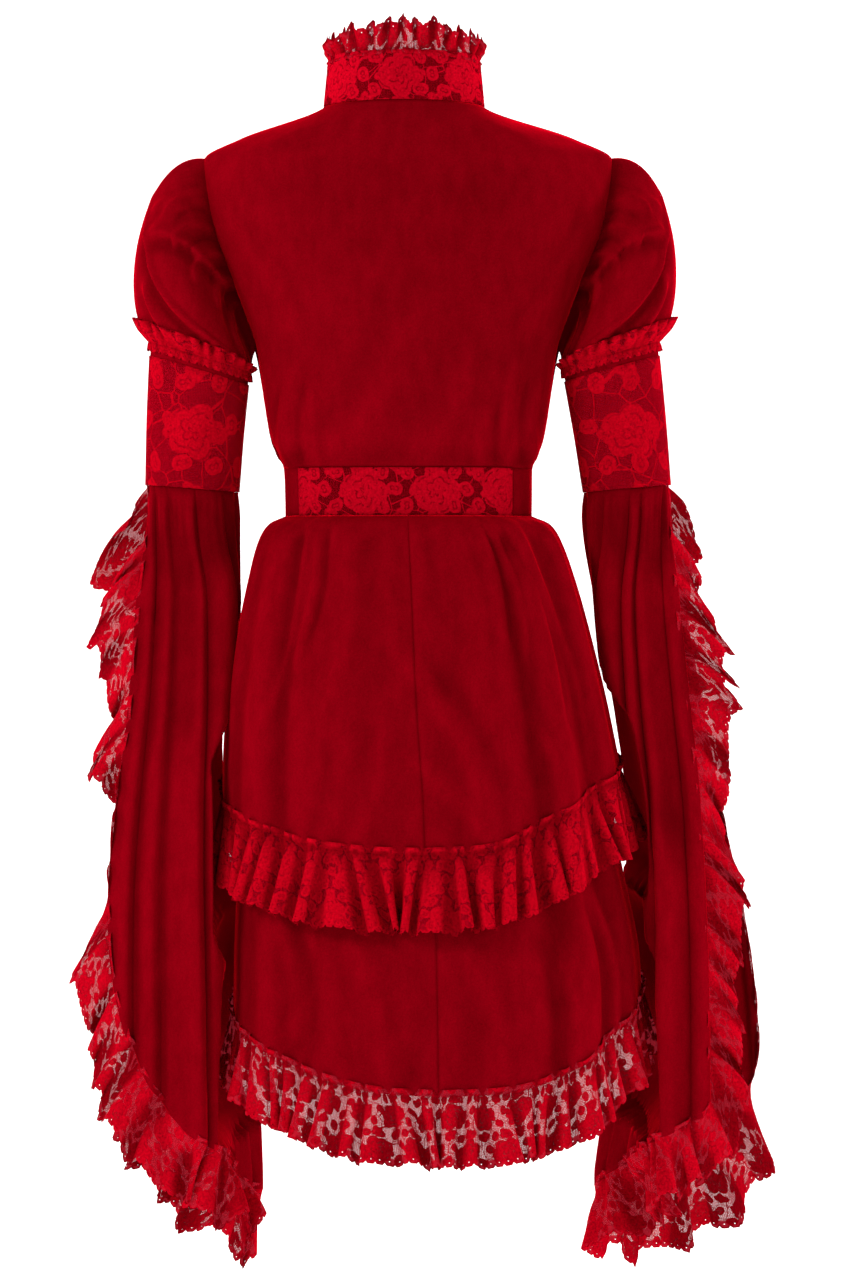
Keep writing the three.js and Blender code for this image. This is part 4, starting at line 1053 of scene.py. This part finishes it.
# Sleeves: a full velvet puff gathered into the armhole and into an arm band that carries flower
# lace, a frill over that seam, and a long bell pleated into the band and open down its outer side.
sleeves = {
    "left": {
        "side": -1,
        "band_top": {"outer": (-254, -240), "inner": (-157, -272), "y": 2, "depth": 50},
        "band_foot": {"outer": (-259, -384), "inner": (-168, -391), "y": 16, "depth": 42},
        "puff": {
            "out_top": 68, "lift_top": 14, "start_deep": 80,
            "foot_out": 38, "foot_deep": 60, "foot_lift": 30,
        },
        "bell": {
            "z": [-390, -500, -600, -700, -800, -900, -1080],
            "near_x": [-262, -269, -276, -287, -296, -298, -298],
            "near_y": [4, -24, -44, -60, -66, -66, -64],
            "fold_x": [-196, -176, -181, -188, -188, -188, -190],
            "fold_y": [-26, -42, -66, -92, -98, -96, -88],
            "inner_x": [-168, -170, -176, -184, -186, -182, -170],
            "inner_y": [18, 18, 20, 22, 24, 24, 26],
            "lap_x": [-196, -178, -178, -174, -166, -160, -154],
            "lap_y": [56, 70, 80, 86, 90, 92, 92],
            "far_x": [-262, -265, -268, -274, -282, -288, -290],
            "far_y": [28, 66, 86, 96, 102, 106, 108],
        },
        "near_hem": {"free": -812, "foot": -1050, "power": 1.8},
        "far_hem": {"free": -850, "foot": -1098, "power": 1.8},
        "near_ruffle_share": 1.05,
        "ruffle_turn": {
            "at": [0, 0.15, 0.17, 0.23, 0.26, 0.32, 0.36, 0.62, 0.68, 1],
            "degrees": [-20, -20, -88, -88, -34, -8, -2, -6, 84, 96],
        },
    },
    "right": {
        "side": 1,
        "band_top": {"outer": (254, -240), "inner": (161, -268), "y": 2, "depth": 48},
        "band_foot": {"outer": (267, -384), "inner": (182, -391), "y": 16, "depth": 41},
        "puff": {
            "out_top": 68, "lift_top": 17, "start_deep": 80,
            "foot_out": 37, "foot_deep": 60, "foot_lift": 32,
        },
        "bell": {
            "z": [-390, -500, -600, -700, -800, -900, -1080],
            "near_x": [269, 276, 286, 296, 301, 304, 306],
            "near_y": [4, -24, -38, -46, -60, -62, -62],
            "fold_x": [210, 201, 212, 234, 250, 254, 253],
            "fold_y": [-26, -42, -50, -56, -80, -84, -82],
            "inner_x": [183, 195, 205, 226, 242, 246, 226],
            "inner_y": [18, 18, 22, 24, 26, 26, 28],
            "lap_x": [210, 204, 212, 222, 228, 224, 203],
            "lap_y": [56, 70, 80, 86, 92, 94, 92],
            "far_x": [270, 284, 301, 320, 340, 356, 368],
            "far_y": [28, 66, 86, 96, 102, 106, 108],
        },
        "near_hem": {"free": -1004, "foot": -1050, "power": 1.4},
        "far_hem": {"free": -936, "foot": -1102, "power": 1.9},
        "near_ruffle_share": 1.0,
        "ruffle_turn": {
            "at": [0, 0.2, 0.4, 0.46, 0.58, 0.63, 0.65, 0.76, 0.80, 1],
            "degrees": [-8, -14, -26, -16, -6, 26, 104, 104, 84, 92],
        },
    },
}
tucked_under = 2.5
puff_round = 420
puff_down = 170
puff_rows = 57
puff_columns = 193
puff_core_x = 203
puff_core_y = 2
band_columns = 129
edge_steps = 420
corner_reach = 8
bell_opening = 0.26
bell_pleats = 11
panel_share = 0.84
pleat_top = 4.2
pleat_foot = 9
bell_near_share = 0.3
bell_far_share = 0.34
skirt_clear = 3
ruffle_clear = 27
bell_ruffle = {
    "folds": 40, "per_fold": 12, "rows": 12, "depth": 58, "header": 6, "header_swing": 0.4,
    "header_lift": 0.0, "swing": 10, "flip": 0.6, "lean": 0, "uneven": 1.7, "start_gap": 0.4,
    "start": 34, "sag": 14, "ragged": 0.10, "slant": 0.2, "tips": 0.36,
}
puff_folds = [
    # way round from the outer side, way down, to round, to down, width, out
    (14, 66, 176, 152, 4.2, 8.0),
    (20, 82, 170, 166, 10, -9.0),
    (134, 22, 34, 72, 4.4, 7.0),
    (126, 38, 40, 84, 8, -6.0),
    (160, 60, 186, 156, 4.4, 6.5),
    (150, 64, 172, 150, 8, -6.0),
    (60, 20, 20, 60, 5, 4.5),
    (40, 108, 96, 168, 4.4, 6.5),
    (30, 118, 80, 170, 7, -6.0),
    (48, 2, 42, 50, 4.2, 6.0),
    (62, 2, 56, 40, 3.8, -5.0),
    (76, 2, 72, 60, 4.2, 7.0),
    (90, 2, 88, 44, 3.8, -5.4),
    (104, 2, 106, 64, 4.2, 7.4),
    (118, 2, 122, 46, 3.8, -5.4),
    (132, 2, 138, 68, 4.2, 7.0),
    (146, 2, 152, 50, 3.8, -5.0),
    (160, 4, 166, 72, 4.2, 6.0),
]
puff_folds += [
    (puff_round - a, b, puff_round - c, d, width, out) for a, b, c, d, width, out in puff_folds
]


def sleeve_ring(ring, angle):
    """A ring of the sleeve at an angle from its outer end, by the back, to its inner end."""
    middle = [(ring["outer"][k] + ring["inner"][k]) / 2 for k in (0, 1)]
    reach = [(ring["outer"][k] - ring["inner"][k]) / 2 for k in (0, 1)]
    x = middle[0] + reach[0] * np.cos(angle)
    y = ring["y"] - ring["depth"] * np.sin(angle)
    z = middle[1] + reach[1] * np.cos(angle)
    return np.stack(np.broadcast_arrays(x, y, z), axis=-1)


def beside_skirt(points, side):
    """The skirt pushes a hanging sleeve aside, so that none of it is inside the skirt."""
    y, z = points[..., 1], points[..., 2]
    reach = np.full(z.shape, -1e6)
    tiers = ((upper_skirt, upper_hem, upper_ruffle), (lower_skirt, lower_hem, lower_ruffle))
    for table, hem, ruffle_size in tiers:
        depth = ruffle_size["depth"]
        deep = np.where(y < 0, read(table, "z", z, "back"), read(table, "z", z, "front")) + ruffle_clear
        turn = 90 + np.degrees(np.arcsin(np.clip(y / deep, -1, 1)))
        seam = hem_height(hem, side * turn)
        near_ruffle = ease((seam + 100 - z) / 50) * ease((z - seam + depth + 80) / 50)
        half = read(table, "z", z, "half") + mix(skirt_clear, ruffle_clear, near_ruffle)
        present = (z < waistband_foot) & (z > seam - depth - 80)
        pushed = half * roundness(y / deep) + side * read(table, "z", z, "middle")
        reach = np.where(present, np.maximum(reach, pushed), reach)
    moved = points.copy()
    moved[..., 0] = side * np.maximum(side * points[..., 0], reach)
    return moved


def through_points(stops, count):
    """A smooth plan curve through its stops, in even steps, with its own directions."""
    ends = np.concatenate([stops[:1], stops, stops[-1:]])
    fine = []
    for i in range(len(stops) - 1):
        p0, p1, p2, p3 = ends[i], ends[i + 1], ends[i + 2], ends[i + 3]
        t = np.linspace(0, 1, 60, endpoint=i == len(stops) - 2)[:, None]
        v0, v1 = (p2 - p0) * 0.5, (p3 - p1) * 0.5
        cube, square = 2 * p1 - 2 * p2 + v0 + v1, 3 * p2 - 3 * p1 - 2 * v0 - v1
        fine.append(cube * t**3 + square * t**2 + v0 * t + p1)
    return along_path(np.concatenate(fine), count)


def puff_piece(name, sleeve):
    """The puff, gathered into the armhole and the arm band. Returns its grid and its ways out."""
    side, band_top = sleeve["side"], sleeve["band_top"]
    # the armhole, from the shoulder down its back edge and up its front edge
    heights = np.linspace(1, 1 / 3, 40)
    across, z = panel_across(np.zeros(40), edge_height(heights), -1)
    middle = read(bodice, "z", z, "middle")
    behind = bodice_point(middle + side * across, z, -1)
    in_front = bodice_point(middle + side * across, z, 1)[::-1]
    ring = np.concatenate([behind, in_front[1:]])
    hole = along_path(np.concatenate([ring, ring[:1]]), puff_columns)
    angle = np.linspace(0, 2 * np.pi, puff_columns)[None]
    t = np.linspace(0, 1, puff_rows)[:, None]
    full = ((1 + np.cos(angle)) / 2) ** 0.45
    start = np.broadcast_to(hole[None], (1, puff_columns, 3)).copy()
    start[..., 0] -= side * tucked_under
    end = sleeve_ring(band_top, angle)
    end[..., 2] += seam_gap + 0.8 * full
    shape = sleeve["puff"]
    start_way = start + np.stack([
        side * mix(7, shape["out_top"], full),
        -shape["start_deep"] * np.sin(angle) * full,
        mix(-9, shape["lift_top"], full),
    ], axis=-1)
    end_way = end + np.stack([
        side * np.cos(angle) * mix(4, shape["foot_out"], full),
        -mix(4, shape["foot_deep"], full) * np.sin(angle),
        mix(7, shape["foot_lift"], full),
    ], axis=-1)
    w = t[..., None]
    puff = (1 - w) ** 3 * start + 3 * (1 - w) ** 2 * w * start_way
    puff = puff + 3 * (1 - w) * w**2 * end_way + w**3 * end
    normal = puff - [side * puff_core_x, puff_core_y, 0]
    normal[..., 2] = 0
    normal = unit(normal)
    share = angle / (2 * np.pi)
    rise = creases(*np.broadcast_arrays(share * puff_round, t * puff_down), puff_folds)
    near_seams = np.exp(-t / 0.10) + 0.9 * np.exp(-(1 - t) / 0.09)
    gather = np.sin(34 * angle + 1.4 * np.sin(3 * angle)) * near_seams
    between_seams = np.sin(np.pi * np.clip(t, 0.03, 0.97)) ** 0.5
    rise = (mix(0.7, 1.25, np.sin(angle) ** 2) * rise + 1.2 * gather) * full * between_seams
    rise = rise * ease(t / 0.05) * ease((1 - t) / 0.05)
    puff = puff + normal * rise[..., None]
    laid = puff[::-1]
    if side > 0:
        laid = laid[:, ::-1]
    lay_cloth(
        f"velvet_puff_{name}", laid, velvet_wall, velvet, f"puff_{name}",
        tube=True,
    )
    return puff, normal


def arm_pieces(name, sleeve):
    """The arm band, and the tube of flower lace over it up to a little below its top."""
    side, band_top, band_foot = sleeve["side"], sleeve["band_top"], sleeve["band_foot"]
    angle = np.linspace(0, 2 * np.pi, band_columns)[None]
    v = np.linspace(0, 1, 33)[:, None, None]
    top_ring, foot_ring = sleeve_ring(band_top, angle), sleeve_ring(band_foot, angle)
    top_ring[..., 2] -= seam_gap
    band = top_ring * (1 - v) + foot_ring * v
    soft = 0.7 * np.sin(angle * 5 + 2.5 * v[..., 0]) * np.sin(np.pi * v[..., 0])
    band_laid = band[::-1] if side < 0 else band[::-1, ::-1]
    soft = soft[::-1] if side < 0 else soft[::-1, ::-1]
    lay_cloth(
        f"velvet_arm_{name}", folded(band_laid, soft), velvet_wall, velvet,
        f"arm_band_{name}", tube=True,
    )
    lace_rows = 30
    over = folded(band_laid, soft + overlay_lift)[:lace_rows]
    arm_shift = (0.75, 0.04) if side < 0 else (0.25, 0.04)
    arm_lace = flower_lace(
        f"arm_rose_lace_{name}", 0.064, frill_red, lace_red, 0.5, 0, (0.1, 0.125), arm_shift
    )
    lay_cloth(
        f"lace_arm_{name}", over, thread_wall, arm_lace, f"arm_lace_{name}",
        tube=True,
    )


def seam_frill(name, sleeve, puff, puff_ways):
    """The gathered frill over the seam of puff and band."""
    side, band_top, band_foot = sleeve["side"], sleeve["band_top"], sleeve["band_foot"]
    trim_folds = 26
    count = trim_folds * 12 + 1
    angle = np.linspace(0, 2 * np.pi, count)
    seam = sleeve_ring(band_top, angle)
    away = np.stack([side * np.cos(angle), -np.sin(angle), np.zeros(count)], axis=-1)
    down = unit(sleeve_ring(band_foot, angle) - seam)
    seam = seam + away * (overlay_lift + 1.4)
    phase = trim_folds * angle + 0.8 * wander(angle * 3, 3 + side)
    fold_size = 0.8 + 0.3 * np.sin(angle * 5 + side)
    turns = np.linspace(0, 2 * np.pi, puff_columns)
    puff_place = np.interp(angle, turns, np.arange(puff_columns))
    low_col = np.floor(puff_place).astype(int).clip(0, puff_columns - 2)
    part = (puff_place - low_col)[:, None]
    frill_rows = []
    for drop in (9, 6, 3):
        swing = 1.7 * fold_size * np.sin(phase) * drop / 9
        frill_rows.append(seam + down * drop + away * (0.4 + swing)[:, None])
    frill_rows.append(seam)
    for climb in (0.2, 0.4, 0.6, 0.8, 1.0):
        row = puff_rows - 1 - int(round(climb * 9))
        over_puff = puff[row, low_col] * (1 - part) + puff[row, low_col + 1] * part
        out_way = puff_ways[row, low_col]
        lift = overlay_lift + 1.6 + 3.4 * climb * fold_size * np.sin(phase) + 1.2 * climb
        target = over_puff + out_way * lift[:, None]
        frill_rows.append(seam * (1 - ease(climb * 1.6)) + target * ease(climb * 1.6))
    trim = np.stack(frill_rows)
    trim = trim if side < 0 else trim[:, ::-1]
    lay_cloth(
        f"lace_trim_{name}", trim, thread_wall, ruffle_lace, f"puff_trim_{name}",
        tube=True,
    )


def bell_piece(name, sleeve):
    """The bell, an open sheet from its near free edge, round the inner side, to its far free edge.
    Returns its grid, its ways out and its form before the pleats."""
    side, band_foot = sleeve["side"], sleeve["band_foot"]
    levels = np.linspace(-380, -1100, 145)
    samples = 241
    plans = []
    for z in levels:
        stops = np.array([
            [read(sleeve["bell"], "z", z, f"{stop}_{k}") for k in ("x", "y")]
            for stop in ("near", "fold", "inner", "lap", "far")
        ])
        plans.append(through_points(stops, samples))
    plans = np.stack(plans)
    plan_ways = unit(np.gradient(plans, axis=1))

    def plan_at(values, s, z):
        row = (levels[0] - z) / (levels[0] - levels[-1]) * (len(levels) - 1)
        row = np.clip(row, 0, len(levels) - 1.001)
        column = np.clip(s * (samples - 1), 0, samples - 1.001)
        r, c = row.astype(int), column.astype(int)
        fr, fc = (row - r)[..., None], (column - c)[..., None]
        upper = values[r, c] * (1 - fc) + values[r, c + 1] * fc
        lower = values[r + 1, c] * (1 - fc) + values[r + 1, c + 1] * fc
        return upper * (1 - fr) + lower * fr

    def hem_at(s):
        near, far = sleeve["near_hem"], sleeve["far_hem"]
        near_t = np.minimum(s / bell_near_share, 1)
        far_t = np.minimum((1 - s) / bell_far_share, 1)
        near_t = (1 - (1 - near_t) ** near["power"]) ** (1 / near["power"])
        far_t = (1 - (1 - far_t) ** far["power"]) ** (1 / far["power"])
        between = ease((s - bell_near_share) / (1 - bell_near_share - bell_far_share))
        near_z = mix(near["free"], near["foot"], near_t)
        far_z = mix(far["free"], far["foot"], far_t)
        return mix(near_z, far_z, between)

    def bell_form(s, v):
        top = sleeve_ring(band_foot, bell_opening + s * 2 * (np.pi - bell_opening))
        top[..., 2] -= seam_gap * 2
        z = mix(top[..., 2], hem_at(s), v**0.9)
        place, way = plan_at(plans, s, z), plan_at(plan_ways, s, z)
        share = ease((top[..., 2] - z) / 110)[..., None]
        flat_place = top[..., :2] * (1 - share) + place * share
        point = np.concatenate([flat_place, z[..., None]], axis=-1)
        turned = np.stack([way[..., 1], -way[..., 0]], axis=-1) * (1 if side < 0 else -1)
        centre = [(band_foot["outer"][0] + band_foot["inner"][0]) / 2, band_foot["y"]]
        ring_way = unit(top[..., :2] - centre)
        flat_way = unit(ring_way * (1 - share) + turned * share)
        normal = np.concatenate([flat_way, np.zeros_like(flat_way[..., :1])], axis=-1)
        return point, normal

    s, v = np.meshgrid(np.linspace(0, 1, 257), np.linspace(0, 1, 81))
    base, bell_normal = bell_form(s, v)
    at_turn = 0.55 + 0.45 * ease((np.abs(s - 0.5) - 0.19) / 0.06)
    drift = 0.32 * wander(s * 8, 4 + side) + 0.10 * wander(s * 5 + v, 9) * v
    panel = np.mod(s * bell_pleats + drift + 0.3, 1)
    turned_edge = 1 - panel_share
    wave = np.where(
        panel < panel_share,
        -np.cos(np.pi * np.clip(panel / panel_share, 0, 1) ** 0.8),
        np.cos(np.pi * np.clip((panel - panel_share) / turned_edge, 0, 1)),
    )
    deep = 0.75 + 0.4 * wander(np.floor(s * bell_pleats + drift + 0.3) * 2.3, 6)
    swing = mix(pleat_top, pleat_foot * at_turn, ease(v * 1.6)) * ease(v / 0.02) * wave * 0.62 * deep
    gathers = 0.45 * np.sin(s * bell_pleats * 6 * np.pi + 1.2 * wander(s * 14, 2)) * ease(v / 0.02)
    gathers = gathers * np.exp(-v / 0.06)
    finer = 0.5 * np.sin(s * 60 + 2 * wander(s * 11, 6)) * ease(v * 3) * wander(v * 3 + s * 5, 8)
    bell = base + bell_normal * (swing + gathers + finer)[..., None]
    bell = beside_skirt(bell, side)
    laid = bell[::-1] if side < 0 else bell[::-1, ::-1]
    lay_cloth(f"velvet_bell_{name}", laid, velvet_wall, velvet, f"bell_{name}")
    return bell, bell_normal, base


def bell_frill(name, sleeve, bell, bell_normal, base):
    """The ruffle down the near free edge, along the hem and up the far free edge."""
    side = sleeve["side"]
    near_edge, hem, far_edge = bell[:, 0], bell[-1], bell[::-1, -1]
    edge = np.concatenate([near_edge[:-1], hem, far_edge[1:]])
    edge_normal = np.concatenate([bell_normal[:-1, 0], bell_normal[-1], bell_normal[::-1, -1][1:]])
    base_edge = np.concatenate([base[:-1, 0], base[-1], base[::-1, -1][1:]])
    lengths = path_lengths(edge)
    at = np.linspace(0, lengths[-1], edge_steps)
    edge = at_lengths(at, lengths, edge)
    edge_normal = unit(at_lengths(at, lengths, edge_normal))
    along = unit(np.gradient(at_lengths(at, lengths, base_edge), axis=0))
    out = np.cross(along, edge_normal) * (1 if side < 0 else -1)
    window = np.hanning(2 * corner_reach + 1)
    window /= window.sum()
    for k in range(3):
        padded = np.pad(out[:, k], corner_reach, mode="edge")
        out[:, k] = np.convolve(padded, window, mode="valid")
    out = unit(out)
    turn_table = sleeve["ruffle_turn"]
    turn = np.radians(np.interp(at / lengths[-1], turn_table["at"], turn_table["degrees"]))[:, None]
    bent = out * np.cos(turn) + edge_normal * np.sin(turn)
    bent[:, 2] -= 0.6
    bent = unit(bent)
    size = {**bell_ruffle, "narrow": sleeve["near_ruffle_share"]}
    ruffle = gathered(edge, out, bent, edge_normal, size, 5 + side)
    ruffle = ruffle if side < 0 else ruffle[:, ::-1]
    lay_cloth(
        f"lace_bell_{name}", ruffle, thread_wall, hem_lace, f"bell_ruffle_{name}",
    )


for name, sleeve in sleeves.items():
    puff, puff_ways = puff_piece(name, sleeve)
    arm_pieces(name, sleeve)
    seam_frill(name, sleeve, puff, puff_ways)
    bell, bell_normal, base = bell_piece(name, sleeve)
    bell_frill(name, sleeve, bell, bell_normal, base)
